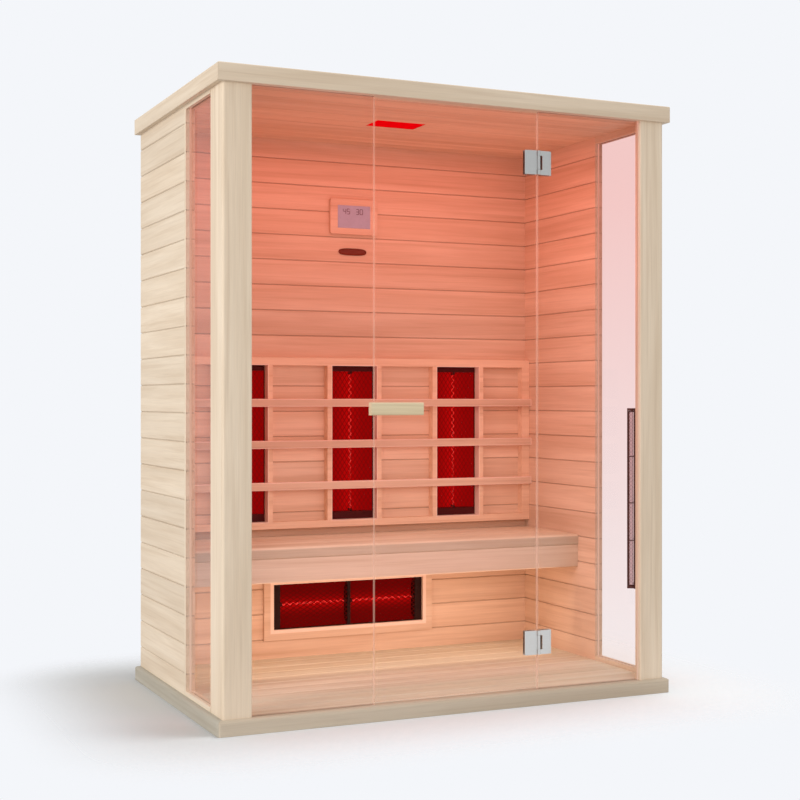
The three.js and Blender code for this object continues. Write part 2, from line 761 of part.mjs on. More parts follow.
function buildBench() {
  const edgeX = wallInnerX - fitGap;
  const backY = backInnerY - fitGap;
  const nose = seatNoseRadius;
  const grooves = evenGrooves(seatFrontY, backY, seatBoardPitch).reverse().flatMap((y) => [
    [y + grooveWidth / 2, seatTop],
    [y, seatTop - grooveDepth],
    [y - grooveWidth / 2, seatTop],
  ]);
  const seatSection = [
    ...arc(seatFrontY + nose / 2, seatUnder + nose / 2, nose / 2, 180, 270, 3),
    [backY, seatUnder],
    [backY, seatTop],
    ...grooves,
    ...arc(seatFrontY + nose, seatTop - nose, nose, 90, 180),
  ];
  addPiece(cabin, 'bench_seat', prismX(seatSection, -edgeX, edgeX), 'warmWood');

  const apronFront = seatFrontY + apronSetback;
  const apronBack = apronFront + apronThickness;
  const apronSection = roundedRectangle(
    apronFront, apronBack, seatUnder - apronHeight, seatUnder, [barRadius, 0, 0, 0]);
  addPiece(cabin, 'bench_apron', prismX(apronSection, -edgeX, edgeX), 'warmWood');
  const cleat = block(
    -wallInnerX, -wallInnerX + cleatSize, apronBack + cleatMargin, backY - cleatMargin,
    seatUnder - cleatSize, seatUnder);
  addPair('bench_cleat', cleat, 'warmWood');
}

// Rails and stiles round the rear heaters, then the bars that a back leans on
function buildBackRest() {
  const edgeX = wallInnerX - fitGap;
  const rail = (z0, z1) => block(-edgeX, edgeX, surroundFrontY, backInnerY, z0, z1);
  const stile = (x0, width) => block(
    x0, x0 + width, surroundFrontY, backInnerY, heaterBottom - fitGap, heaterTop + fitGap);
  const stiles = heaterPlaces.flatMap((x) => [
    stile(x - heaterWidth / 2 - stileWidth, stileWidth),
    stile(x + heaterWidth / 2, stileWidth),
  ]);
  const surround = joined(
    rail(heaterTop, heaterTop + topRailHeight), rail(heaterBottom - bottomRailHeight, heaterBottom),
    ...stiles, stile(-edgeX, cornerStileWidth), stile(edgeX - cornerStileWidth, cornerStileWidth));
  addPiece(cabin, 'heater_surround', surround, 'warmWood');

  ['lower', 'middle', 'upper'].forEach((level, i) => {
    const centre = lowestBar + i * barPitch;
    const section = roundedRectangle(
      surroundFrontY - barThickness, surroundFrontY, centre - barHeight / 2, centre + barHeight / 2,
      [barRadius, 0, 0, barRadius]);
    addPiece(cabin, `back_rest_bar_${level}`, prismX(section, -edgeX, edgeX), 'warmWood');
  });
}

// A sheet tray, open to the front, whose flange lies behind the boards
function heaterTray(x0, x1, z0, z1) {
  const front = backInnerY + heaterRecess;
  const back = front + heaterDepth;
  const wall = heaterSheet;
  const shell = cut(
    block(x0, x1, front, back, z0, z1),
    block(x0 + wall, x1 - wall, front - 1, back - wall, z0 + wall, z1 - wall));
  const flange = cut(
    block(x0 - heaterFlange, x1 + heaterFlange, backBoardBackY, backBoardBackY + wall,
      z0 - heaterFlange, z1 + heaterFlange),
    block(x0 + wall, x1 - wall, backBoardBackY - 1, backBoardBackY + wall + 1, z0 + wall, z1 - wall));
  return joined(shell, flange);
}

// Helix along an axis that opens from the axis and closes on it again, with straight ends
class CoilCurve extends THREE.Curve {
  constructor(start, axis, length) {
    super();
    this.start = start;
    this.axis = axis;
    this.length = length;
    this.curls = Math.max(1, Math.round(length / coilPitch));
    this.across = new THREE.Vector3(0, 1, 0);
    this.upward = new THREE.Vector3().crossVectors(axis, this.across);
  }

  getPoint(t, target = new THREE.Vector3()) {
    const tail = (2 * wireRadius) / this.length;
    const along = THREE.MathUtils.clamp((t - tail) / (1 - 2 * tail), 0, 1);
    const opening = Math.min(1, 2 * this.curls * Math.min(along, 1 - along));
    const angle = 2 * Math.PI * this.curls * along;
    return target.copy(this.start)
      .addScaledVector(this.axis, t * this.length)
      .addScaledVector(this.across, opening * coilRadius * Math.cos(angle))
      .addScaledVector(this.upward, opening * coilRadius * Math.sin(angle));
  }
}

// Least clear distance between curls, measured on points of the wire's centre line
function leastCurlGap(points) {
  let least = Infinity;
  points.forEach((point, i) => {
    for (let j = i + Math.ceil(stepsPerCurl / 2); j < points.length; j += 1) {
      least = Math.min(least, point.distanceTo(points[j]));
    }
  });
  return least - 2 * wireRadius;
}

function coil(name, start, axis, length) {
  const curve = new CoilCurve(start, axis, length);
  const steps = curve.curls * stepsPerCurl + 2;
  console.log(`${name}: least gap between curls ${leastCurlGap(curve.getSpacedPoints(steps)).toFixed(1)} mm`);
  const outline = circle(0, 0, wireRadius, wireSides);
  const section = new THREE.Shape(outline.map(([u, v]) => new THREE.Vector2(u, v)));
  return solidOf(new THREE.ExtrudeGeometry(section, { steps, extrudePath: curve, bevelEnabled: false }));
}

// A net of diamond openings, staggered from row to row, inside a plain border
function net(x0, x1, y0, y1, z0, z1) {
  const cellWidth = (x1 - x0 - 2 * netBorder) / netColumns;
  const cellHeight = (z1 - z0 - 2 * netBorder) / netRows;
  const strandShare = 1 - netStrand / cellWidth;
  const diamond = (column, row) => {
    const x = x0 + netBorder + column * cellWidth;
    const z = z0 + netBorder + row * cellHeight;
    const halfX = (strandShare * cellWidth) / 2;
    const halfZ = (strandShare * cellHeight) / 2;
    return [[x - halfX, z], [x, z - halfZ], [x + halfX, z], [x, z + halfZ]];
  };
  const gaps = [];
  for (let row = 0; row < netRows; row += 1) {
    for (let column = 0; column < netColumns; column += 1) {
      gaps.push(diamond(column + 0.5, row + 0.5));
      if (row > 0 && column > 0) gaps.push(diamond(column, row));
    }
  }
  return prismY([[x0, z0], [x1, z0], [x1, z1], [x0, z1]], y0, y1, gaps);
}

function buildRearHeaters() {
  const front = backInnerY + heaterRecess;
  const sides = ['left', 'middle', 'right'];
  sides.forEach((side, i) => {
    const half = heaterWidth / 2 - fitGap;
    const x0 = heaterPlaces[i] - half;
    const x1 = heaterPlaces[i] + half;
    const z0 = heaterBottom + fitGap;
    const z1 = heaterTop - fitGap;
    const coilFoot = z0 + heaterSheet + bottomBlockHeight;
    const coilHead = z1 - heaterSheet - topBlockHeight;
    const end = (low, high) => block(x0 + 1, x1 - 1, front, front + blockDepth, low, high);
    const housing = joined(heaterTray(x0, x1, z0, z1), end(z0 + 1, coilFoot), end(coilHead, z1 - 1));
    addPiece(cabin, `${side}_heater_housing`, housing, 'blackSteel');

    const start = new THREE.Vector3(heaterPlaces[i], front + coilDepth, coilFoot + fitGap);
    const length = coilHead - coilFoot - 2 * fitGap;
    const wire = coil(`${side}_heater_coil`, start, new THREE.Vector3(0, 0, 1), length);
    addPiece(cabin, `${side}_heater_coil`, wire, 'hotWire');

    const margin = heaterSheet + fitGap;
    const mesh = net(
      x0 + margin, x1 - margin, front + 1, front + 1 + netThickness, coilFoot + fitGap, coilHead - fitGap);
    addPiece(cabin, `${side}_heater_net`, mesh, 'redNet');
  });
}

function buildLegHeater() {
  const front = backInnerY + heaterRecess;
  const x0 = legHeaterX - legHeaterWidth / 2;
  const x1 = legHeaterX + legHeaterWidth / 2;
  const z0 = legHeaterBottom;
  const z1 = legHeaterBottom + legHeaterHeight;
  const upright = (low, high) => block(
    low, high, front, front + heaterDepth - 1, z0 + fitGap + 1, z1 - fitGap - 1);
  const leftEnd = x0 + fitGap + heaterSheet + legBlockWidth;
  const rightEnd = x1 - fitGap - heaterSheet - legBlockWidth;
  const dividerLeft = legHeaterX - legDividerWidth / 2;
  const dividerRight = legHeaterX + legDividerWidth / 2;
  const housing = joined(
    heaterTray(x0 + fitGap, x1 - fitGap, z0 + fitGap, z1 - fitGap),
    upright(x0 + fitGap + 1, leftEnd),
    upright(dividerLeft, dividerRight),
    upright(rightEnd, x1 - fitGap - 1));
  addPiece(cabin, 'leg_heater_housing', housing, 'blackSteel');

  const spans = { left: [leftEnd, dividerLeft], right: [dividerRight, rightEnd] };
  for (const [side, [low, high]] of Object.entries(spans)) {
    const start = new THREE.Vector3(low + fitGap, front + coilDepth, legCoilHeight);
    const name = `leg_heater_coil_${side}`;
    addPiece(cabin, name, coil(name, start, new THREE.Vector3(1, 0, 0), high - low - 2 * fitGap), 'hotWire');
  }

  const frameFront = backInnerY - legFrameThickness;
  const wide = legFrameWidth;
  const border = cut(
    block(x0 - wide, x1 + wide, frameFront, backInnerY, z0 - wide, z1 + wide),
    block(x0, x1, frameFront - 1, backInnerY + 1, z0, z1));
  addPiece(cabin, 'leg_heater_surround', border, 'warmWood');
}

// Corner emitters: a wedge in the angle of the post, a rod in front of it and a cage over the rod.
// Both are made square, x out of the wedge and y along its long face, then turned into the corner.
function buildCornerEmitters() {
  const startX = -postInnerX - emitterInset;
  const startY = postInsideY + fitGap;
  const runX = startX + wallInnerX - fitGap;
  const runY = postBackY - emitterInset - startY;
  const width = Math.hypot(runX, runY);
  const turned = (x, y, z) => [
    startX + (x * runY - y * runX) / width,
    startY + (x * runX + y * runY) / width,
    z,
  ];
  const foot = emitterBottom;
  const head = emitterBottom + emitterHeight;
  const y0 = (width - guardWidth) / 2;
  const y1 = (width + guardWidth) / 2;

  const wedge = [[0, 0], [0, width], [(-runX * runY) / width, (runX * runX) / width]];
  const plate = block(-1, emitterPlate, emitterPlateMargin, width - emitterPlateMargin, foot, head);
  const cap = (z0, z1) => block(emitterPlate - 1, guardReach, y0, y1, z0, z1);
  const rod = prismZ(circle(emitterRodReach, width / 2, emitterRodRadius, 10), foot + 1, head - 1);
  const housing = joined(
    prismZ(wedge, foot, head), plate, cap(foot, foot + emitterCap), cap(head - emitterCap, head), rod);
  addPair('emitter_housing', housing, 'blackSteel', turned);

  const z0 = foot + emitterCap + fitGap;
  const z1 = head - emitterCap - fitGap;
  const inside = emitterPlate + fitGap;
  const wire = guardWire;
  const low = y0 + guardStep;
  const high = y1 - guardStep;
  const face = guardReach - guardStep;
  const rib = (z) => cut(
    block(inside, face, low, high, z, z + wire),
    block(inside - 1, face - wire, low + wire, high - wire, z - 1, z + wire + 1));
  const ribs = [z0 + guardStep, ...guardRibs.map((rise) => foot + rise), z1 - wire - guardStep].map(rib);
  const bars = Array.from({ length: guardBars }, (unused, i) => {
    const y = y0 + ((guardWidth - wire) * i) / (guardBars - 1);
    return block(guardReach - wire, guardReach, y, y + wire, z0, z1);
  });
  addPair('emitter_guard', joined(...bars, ...ribs), 'blackSteel', turned);
}

function buildControlPanel() {
  const x0 = panelX - panelWidth / 2;
  const top = panelBottom + panelHeight;
  const r = panelRadius;
  const frontY = backInnerY - panelThickness;
  const displayX = panelX - displayWidth / 2;
  const displayZ = panelBottom + (panelHeight - displayHeight) / 2;
  const pocket = block(
    displayX - fitGap, displayX + displayWidth + fitGap, frontY - 1, frontY + displayDepth,
    displayZ - fitGap, displayZ + displayHeight + fitGap);
  const outline = roundedRectangle(x0, x0 + panelWidth, panelBottom, top, [r, r, r, r]);
  addPiece(cabin, 'control_panel', cut(prismY(outline, frontY, backInnerY), pocket), 'warmWood');
  const display = block(
    displayX, displayX + displayWidth, frontY - displayProud, frontY + displayDepth,
    displayZ, displayZ + displayHeight);
  addPiece(cabin, 'control_display', display, 'display');
}

buildBase();
buildFloor();
buildPosts();
buildSideWalls();
buildBackWall();
buildRoof();
buildCeilingLight();
buildPowerUnit();
buildFrontPanes();
buildDoor();
buildHinges();
buildBench();
buildBackRest();
buildRearHeaters();
buildLegHeater();
buildCornerEmitters();
buildControlPanel();

export default cabin;
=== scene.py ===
import json
import math

import bpy
import numpy as np
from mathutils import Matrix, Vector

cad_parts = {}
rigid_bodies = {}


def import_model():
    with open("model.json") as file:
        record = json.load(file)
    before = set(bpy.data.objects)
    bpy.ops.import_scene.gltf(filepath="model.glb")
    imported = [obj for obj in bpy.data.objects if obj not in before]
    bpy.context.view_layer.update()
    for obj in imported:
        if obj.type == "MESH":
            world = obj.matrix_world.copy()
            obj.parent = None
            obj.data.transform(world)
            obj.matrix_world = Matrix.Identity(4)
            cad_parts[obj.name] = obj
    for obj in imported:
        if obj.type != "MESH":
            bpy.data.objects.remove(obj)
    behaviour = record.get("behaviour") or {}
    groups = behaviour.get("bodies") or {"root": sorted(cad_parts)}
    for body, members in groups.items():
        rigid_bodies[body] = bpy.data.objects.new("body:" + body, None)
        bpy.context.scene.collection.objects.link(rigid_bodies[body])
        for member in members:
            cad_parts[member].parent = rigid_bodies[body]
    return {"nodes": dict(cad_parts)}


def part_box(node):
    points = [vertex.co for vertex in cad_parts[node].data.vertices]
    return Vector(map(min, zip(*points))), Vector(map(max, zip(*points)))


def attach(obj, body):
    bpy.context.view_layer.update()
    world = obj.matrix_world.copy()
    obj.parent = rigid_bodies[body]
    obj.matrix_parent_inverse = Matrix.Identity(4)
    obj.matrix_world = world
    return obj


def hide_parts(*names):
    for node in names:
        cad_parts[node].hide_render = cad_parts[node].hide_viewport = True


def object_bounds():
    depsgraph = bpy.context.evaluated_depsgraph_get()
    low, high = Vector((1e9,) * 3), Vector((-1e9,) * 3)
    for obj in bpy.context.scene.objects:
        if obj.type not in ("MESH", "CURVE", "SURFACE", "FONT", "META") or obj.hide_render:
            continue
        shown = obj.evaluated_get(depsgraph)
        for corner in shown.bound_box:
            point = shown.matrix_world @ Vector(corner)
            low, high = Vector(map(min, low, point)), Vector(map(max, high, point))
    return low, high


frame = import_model()
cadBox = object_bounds()
nodes = frame["nodes"]
print("frame loaded:", len(nodes), "nodes")


# Camera, at the photograph's place: metres, degrees, pixels of an 800 px square image
cameraPlace = {
    "place": (-1.9795, -4.355, 0.950),
    "yaw": 24.6,
    "focalPixels": 1440.0,
    "imagePixels": 800.0,
    "sensor": 36.0,
    "centreRise": 0.6,
    "clipEnd": 60.0,
}


def addCamera(look):
    data = bpy.data.cameras.new("camera")
    data.sensor_fit = "HORIZONTAL"
    data.sensor_width = look["sensor"]
    data.lens = look["focalPixels"] / look["imagePixels"] * look["sensor"]
    data.shift_y = -look["centreRise"] / look["imagePixels"]
    data.clip_end = look["clipEnd"]
    camera = bpy.data.objects.new("camera", data)
    camera.location = look["place"]
    camera.rotation_euler = (math.radians(90), 0, -math.radians(look["yaw"]))
    bpy.context.scene.collection.objects.link(camera)
    bpy.context.scene.camera = camera


addCamera(cameraPlace)
bpy.context.scene.view_settings.view_transform = "Standard"
print("camera placed")


# Small helpers for node trees
def newMaterial(name):
    material = bpy.data.materials.new(name)
    material.use_nodes = True
    material.node_tree.nodes.clear()
    return material, material.node_tree


def addNode(tree, kind, inputs=None, **settings):
    made = tree.nodes.new("ShaderNode" + kind)
    for key, value in settings.items():
        setattr(made, key, value)
    for key, value in (inputs or {}).items():
        if isinstance(value, bpy.types.NodeSocket):
            tree.links.new(value, made.inputs[key])
        else:
            made.inputs[key].default_value = value
    return made


def calc(tree, operation, *values):
    return addNode(tree, "Math", dict(enumerate(values)), operation=operation).outputs[0]


def vectorCalc(tree, operation, *values):
    made = addNode(tree, "VectorMath", dict(enumerate(values)), operation=operation)
    return made.outputs["Value" if operation in ("DISTANCE", "LENGTH") else "Vector"]


def scaled(tree, colour, factor):
    return addNode(tree, "VectorMath", {0: colour, "Scale": factor}, operation="SCALE").outputs[0]


def spread(tree, value, fromLow, fromHigh, toLow=0.0, toHigh=1.0, curve="LINEAR"):
    inputs = {"Value": value, "From Min": fromLow, "From Max": fromHigh, "To Min": toLow, "To Max": toHigh}
    return addNode(tree, "MapRange", inputs, interpolation_type=curve).outputs["Result"]


def solid(colour):
    return colour if isinstance(colour, bpy.types.NodeSocket) else (*colour, 1.0)


def mixColour(tree, factor, first, second):
    inputs = {0: factor, 6: solid(first), 7: solid(second)}
    return addNode(tree, "Mix", inputs, data_type="RGBA").outputs[2]


def mixShader(tree, factor, first, second):
    return addNode(tree, "MixShader", {0: factor, 1: first, 2: second}).outputs[0]


def clearShader(tree, colour):
    return addNode(tree, "BsdfTransparent", {"Color": solid(colour)}).outputs[0]


def glossShader(tree, colour, roughness):
    return addNode(tree, "BsdfGlossy", {"Color": solid(colour), "Roughness": roughness}).outputs[0]


def objectPlace(tree):
    return addNode(tree, "TexCoord").outputs["Object"]


def splitUp(tree, vector):
    return addNode(tree, "SeparateXYZ", {0: vector}).outputs


noiseRange = (0.3, 0.7)     # where nearly all of a noise's values lie


def noise(tree, place, scale, detail=2.0):
    return addNode(tree, "TexNoise", {"Vector": place, "Scale": scale, "Detail": detail}).outputs["Fac"]


def finishWith(tree, shader):
    addNode(tree, "OutputMaterial", {"Surface": shader})


def axisScale(axis, along, across):
    return tuple(along if letter == axis else across for letter in "xyz")


# Planed softwood: long pale streaks and fine fibres along the grain, each board shifted and toned by itself
woodTones = {
    "pale": {"light": (0.80, 0.67, 0.525), "dark": (0.68, 0.545, 0.405), "line": (0.58, 0.44, 0.31)},
    "base": {"light": (0.60, 0.51, 0.40), "dark": (0.50, 0.41, 0.31), "line": (0.43, 0.34, 0.24)},
    "baseSide": {"light": (0.47, 0.43, 0.36), "dark": (0.40, 0.36, 0.29), "line": (0.34, 0.29, 0.22)},
    "warm": {"light": (0.81, 0.615, 0.465), "dark": (0.68, 0.47, 0.33), "line": (0.56, 0.36, 0.235)},
    # seat and floor: paler, cooler copies of the warm wood, painted light in place of lamp light on them
    "seat": {"light": (0.86, 0.79, 0.63), "dark": (0.74, 0.62, 0.46), "line": (0.61, 0.47, 0.31)},
    "floor": {"light": (0.84, 0.84, 0.71), "dark": (0.72, 0.68, 0.53), "line": (0.60, 0.50, 0.37)},
    "ceiling": {"light": (0.80, 0.67, 0.51), "dark": (0.68, 0.53, 0.37), "line": (0.57, 0.40, 0.26)},
    # surround: a lighter copy of the warm wood, painted light against the shade on the frame
    "surround": {"light": (0.91, 0.69, 0.51), "dark": (0.78, 0.54, 0.37), "line": (0.66, 0.42, 0.27)},
    "apron": {"light": (0.78, 0.71, 0.58), "dark": (0.66, 0.55, 0.42), "line": (0.55, 0.42, 0.28)},
    "handle": {"light": (0.78, 0.66, 0.45), "dark": (0.66, 0.52, 0.32), "line": (0.52, 0.38, 0.2)},
}
woodLook = {
    # noise scale along the grain and over it, detail, distortion
    "broad": (0.9, 16.0, 3.0, 0.6),
    "rings": (1.6, 75.0, 3.0, 0.3),
    "fibres": (9.0, 420.0, 2.0, 0.0),
    "breakUp": 0.55,
    "darkRange": (0.32, 0.68), "lineRange": (0.50, 0.78), "roughRange": (0.3, 0.75),
    "boardShift": (7.0, 5.0, 9.0),
    "boardTone": (0.10, 0.95),     # spread of the boards' brightness, lowest brightness
    "fibreTone": (0.96, 1.03),
    "lineShare": 0.55,
    "jointBand": (0.0006, 0.0028),     # metres from the joint: darkest up to, plain from
    # gain of the painted light on the boards inside the back rest's frame
    "paintedLightGain": 1.13,
    # painted highlight along cut edges: its tone, the band in metres from the edge, its share
    "highlightTone": (0.97, 0.78, 0.68),
    "highlightBand": (0.0015, 0.0042),
    "highlightShare": 0.75,
    "ringRise": 0.6, "fibreRise": 0.4, "bump": 0.12, "bumpDepth": 0.0006,
    "roughness": (0.52, 0.70), "gloss": 0.3,
}


def woodFinish(name, tone, grain, seed, across=None, pitch=1.0, first=0.0, jointShade=0.70,
               paintedHighlightAt=(), outside=False, paintedLightIn=None):
    look, tones = woodLook, woodTones[tone]
    material, tree = newMaterial(name)
    place = objectPlace(tree)
    parts = splitUp(tree, place)
    draw = 2 * seed
    if across:
        # the whole steps across the grain number the boards
        steps = calc(tree, "DIVIDE", calc(tree, "SUBTRACT", parts[across.upper()], first), pitch)
        draw = calc(tree, "ADD", calc(tree, "FLOOR", steps), seed)
    chance = addNode(tree, "TexWhiteNoise", {"W": draw}, noise_dimensions="1D").outputs
    shift = vectorCalc(tree, "MULTIPLY", chance["Color"], look["boardShift"])
    moved = vectorCalc(tree, "ADD", place, shift)

    def streaks(along, over, detail, distortion):
        stretched = addNode(tree, "Mapping", {"Vector": moved, "Scale": axisScale(grain, along, over)})
        return addNode(tree, "TexNoise", {
            "Vector": stretched.outputs[0], "Scale": 1.0, "Detail": detail,
            "Roughness": look["breakUp"], "Distortion": distortion}).outputs["Fac"]

    broad, rings, fibres = (streaks(*look[key]) for key in ("broad", "rings", "fibres"))
    colour = mixColour(tree, spread(tree, broad, *look["darkRange"]), tones["light"], tones["dark"])
    onLine = spread(tree, rings, *look["lineRange"], 0.0, look["lineShare"])
    colour = mixColour(tree, onLine, colour, tones["line"])
    lift = calc(tree, "MULTIPLY_ADD", chance["Value"], *look["boardTone"])
    lift = calc(tree, "MULTIPLY", lift, spread(tree, fibres, *noiseRange, *look["fibreTone"]))
    colour = scaled(tree, colour, lift)
    if across:
        # painted shade in the groove at each joint between boards, darkest at the joint line
        fromJoint = calc(tree, "MULTIPLY", calc(tree, "PINGPONG", steps, 0.5), pitch)
        colour = scaled(tree, colour, spread(tree, fromJoint, *look["jointBand"], jointShade, 1.0))
    if paintedLightIn:
        # boards inside the frame of the back rest are made paler: painted light against the shade in their
        # recess behind the frame
        within = 1.0
        for axis, (start, end) in paintedLightIn.items():
            inside = calc(tree, "COMPARE", parts[axis], (start + end) / 2, (end - start) / 2)
            within = calc(tree, "MULTIPLY", within, inside)
        colour = scaled(tree, colour, spread(tree, within, 0.0, 1.0, 1.0, look["paintedLightGain"]))
    if paintedHighlightAt:
        # painted highlight on cut edges: distance outside the nearest rectangle, or from its line for a
        # bar's own outline
        def pastSide(axis, start, end):
            fromMiddle = calc(tree, "ABSOLUTE", calc(tree, "SUBTRACT", parts[axis], (start + end) / 2))
            return calc(tree, "SUBTRACT", fromMiddle, (end - start) / 2)

        nearest = 1.0
        for outline in paintedHighlightAt:
            away = calc(tree, "MAXIMUM", *(pastSide(axis, *ends) for axis, ends in outline.items()))
            if outside:
                away = calc(tree, "ABSOLUTE", away)
            nearest = calc(tree, "MINIMUM", nearest, away)
        onEdge = spread(tree, nearest, *look["highlightBand"], look["highlightShare"], 0.0)
        colour = mixColour(tree, onEdge, colour, look["highlightTone"])
    height = calc(tree, "ADD", calc(tree, "MULTIPLY", rings, look["ringRise"]),
                  calc(tree, "MULTIPLY", fibres, look["fibreRise"]))
    bump = addNode(tree, "Bump", {
        "Height": height, "Strength": look["bump"], "Distance": look["bumpDepth"]})
    shader = addNode(tree, "BsdfPrincipled", {
        "Base Color": colour, "Roughness": spread(tree, rings, *look["roughRange"], *look["roughness"]),
        "Specular IOR Level": look["gloss"], "Normal": bump.outputs[0]})
    finishWith(tree, shader.outputs[0])
    return material


# Clear toughened glass: a faint rose veil that grows with height, which is a painted glow for the red light
# inside, clouded bright edges, a mirror at a slant
# The part of a pane that a groove holds glows with painted light, which stands for the warm light that the
# real groove catches
glassLook = {
    "glowVeilTop": (1.0, 0.895, 0.88), "glowVeilFoot": (1.0, 0.97, 0.962), "low": 0.2, "high": 1.6,
    "straight": 0.0, "grazing": 0.26, "polish": 0.03,
    "edgeFacing": 0.5, "cloud": 0.35, "cloudScale": 40.0, "cloudRoughness": 0.25,
    "edgeLight": (0.97, 0.78, 0.67), "edgeDark": (0.92, 0.73, 0.63), "edgeClear": (1.0, 0.94, 0.92),
    "heldGlowTop": (0.66, 0.35, 0.26), "heldGlowFoot": (0.70, 0.47, 0.36), "heldGap": 0.0003,
}


def mirrorShare(tree, straight, grazing, power=4.0):
    # the mirror grows with a power of the slant, from the share straight on to the share edge on
    facing = addNode(tree, "LayerWeight", {"Blend": 0.5}).outputs["Facing"]
    return spread(tree, calc(tree, "POWER", facing, power), 0.0, 1.0, straight, grazing)


def glassFinish(name, faceAxis, look, heldAxis=None, heldFrom=0.0):
    material, tree = newMaterial(name)
    place = objectPlace(tree)
    parts = splitUp(tree, place)
    height = spread(tree, parts["Z"], look["low"], look["high"])
    # painted glow: the veil grows rosier with height
    veil = clearShader(tree, mixColour(tree, height, look["glowVeilFoot"], look["glowVeilTop"]))
    gloss = glossShader(tree, (1.0, 1.0, 1.0), look["polish"])
    face = mixShader(tree, mirrorShare(tree, look["straight"], look["grazing"]), veil, gloss)
    normal = addNode(tree, "NewGeometry").outputs["True Normal"]
    facing = splitUp(tree, normal)[faceAxis.upper()]
    onEdge = calc(tree, "LESS_THAN", calc(tree, "ABSOLUTE", facing), look["edgeFacing"])
    ripple = noise(tree, place, look["cloudScale"])
    cloudy = addNode(tree, "BsdfPrincipled", {
        "Base Color": mixColour(tree, ripple, look["edgeLight"], look["edgeDark"]),
        "Roughness": look["cloudRoughness"]})
    edge = mixShader(tree, look["cloud"], clearShader(tree, look["edgeClear"]), cloudy.outputs[0])
    shader = mixShader(tree, onEdge, face, edge)
    if heldAxis:
        along = parts[heldAxis.upper()]
        if heldAxis == "x":
            along = calc(tree, "ABSOLUTE", along)
        # painted glow on the part of the pane that the groove holds
        warm = addNode(tree, "Emission", {
            "Color": mixColour(tree, height, look["heldGlowFoot"], look["heldGlowTop"])})
        shader = mixShader(tree, calc(tree, "GREATER_THAN", along, heldFrom), shader, warm.outputs[0])
    finishWith(tree, shader)
    return material


# Satin steel with a fine brushed line along one axis
brushLook = {"along": 20.0, "across": 1600.0, "dim": 0.82, "bump": 0.08, "bumpDepth": 0.0002,
             "smoother": 0.06, "rougher": 0.08}


def brushedFinish(name, colour, brush, roughness=0.34):
    look = brushLook
    material, tree = newMaterial(name)
    lines = addNode(tree, "Mapping", {
        "Vector": objectPlace(tree), "Scale": axisScale(brush, look["along"], look["across"])})
    grain = noise(tree, lines.outputs[0], 1.0)
    bump = addNode(tree, "Bump", {
        "Height": grain, "Strength": look["bump"], "Distance": look["bumpDepth"]})
    dim = tuple(look["dim"] * value for value in colour)
    shader = addNode(tree, "BsdfPrincipled", {
        "Base Color": mixColour(tree, grain, dim, colour), "Metallic": 1.0,
        "Roughness": spread(tree, grain, *noiseRange, roughness - look["smoother"],
                            roughness + look["rougher"]),
        "Normal": bump.outputs[0]})
    finishWith(tree, shader.outputs[0])
    return material


# Powder coat: a fine orange-peel bump and slightly uneven gloss
coatLook = {"peel": 900.0, "cloud": 14.0, "cloudDetail": 3.0, "dim": 0.75, "bump": 0.15,
            "bumpDepth": 0.0002, "uneven": 0.08}


def coatedFinish(name, colour, roughness=0.5, metal=0.0, gloss=0.3):
    look = coatLook
    material, tree = newMaterial(name)
    place = objectPlace(tree)
    cloud = noise(tree, place, look["cloud"], look["cloudDetail"])
    peel = noise(tree, place, look["peel"])
    bump = addNode(tree, "Bump", {
        "Height": peel, "Strength": look["bump"], "Distance": look["bumpDepth"]})
    dim = tuple(look["dim"] * value for value in colour)
    shader = addNode(tree, "BsdfPrincipled", {
        "Base Color": mixColour(tree, cloud, dim, colour), "Metallic": metal, "Specular IOR Level": gloss,
        "Roughness": spread(tree, cloud, *noiseRange, roughness - look["uneven"],
                            roughness + look["uneven"]),
        "Normal": bump.outputs[0]})
    finishWith(tree, shader.outputs[0])
    return material


# A surface that gives off its own light, mottled a little; with an edge strength it is brightest along the
# middle of its UV width, and the light falls to that strength at both edges. On the heater nets and troughs
# this glow is painted light
glowLook = {"mottle": 60.0, "mottleRange": (0.9, 1.1), "roughness": 0.5}


def glowFinish(name, body, glow, strength, edgeStrength=None, fallPower=2.2):
    material, tree = newMaterial(name)
    if edgeStrength is None:
        cloud = noise(tree, objectPlace(tree), glowLook["mottle"])
        power = spread(tree, cloud, *noiseRange, *(strength * value for value in glowLook["mottleRange"]))
    else:
        across = splitUp(tree, addNode(tree, "TexCoord").outputs["UV"])["X"]
        fromMiddle = calc(tree, "ABSOLUTE", calc(tree, "SUBTRACT", across, 0.5))
        fall = calc(tree, "SUBTRACT", 1.0, calc(tree, "MULTIPLY", fromMiddle, 2.0))
        power = spread(tree, calc(tree, "POWER", fall, fallPower), 0.0, 1.0, edgeStrength, strength)
    shader = addNode(tree, "BsdfPrincipled", {
        "Base Color": solid(body), "Roughness": glowLook["roughness"], "Specular IOR Level": 0.0,
        "Emission Color": solid(glow), "Emission Strength": power})
    finishWith(tree, shader.outputs[0])
    return material


def dress(material, *names):
    for name in names:
        slots = nodes[name].data.materials
        slots.clear()
        slots.append(material)


# Wood of each run of boards, by the way its grain lies
boards = {"pitch": 0.0885, "first": 0.112, "seatPitch": 0.095, "outerShade": 0.80}
level = {"across": "z", "pitch": boards["pitch"], "first": boards["first"]}


def frontToBack(node, wanted):
    # whole boards over the node's depth, as near to the wanted width as they fit
    low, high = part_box(node)
    depth = high.y - low.y
    return {"across": "y", "pitch": depth / round(depth / wanted), "first": low.y}


def outlineOf(node):
    low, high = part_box(node)
    return {"X": (low.x, high.x), "Z": (low.z, high.z)}


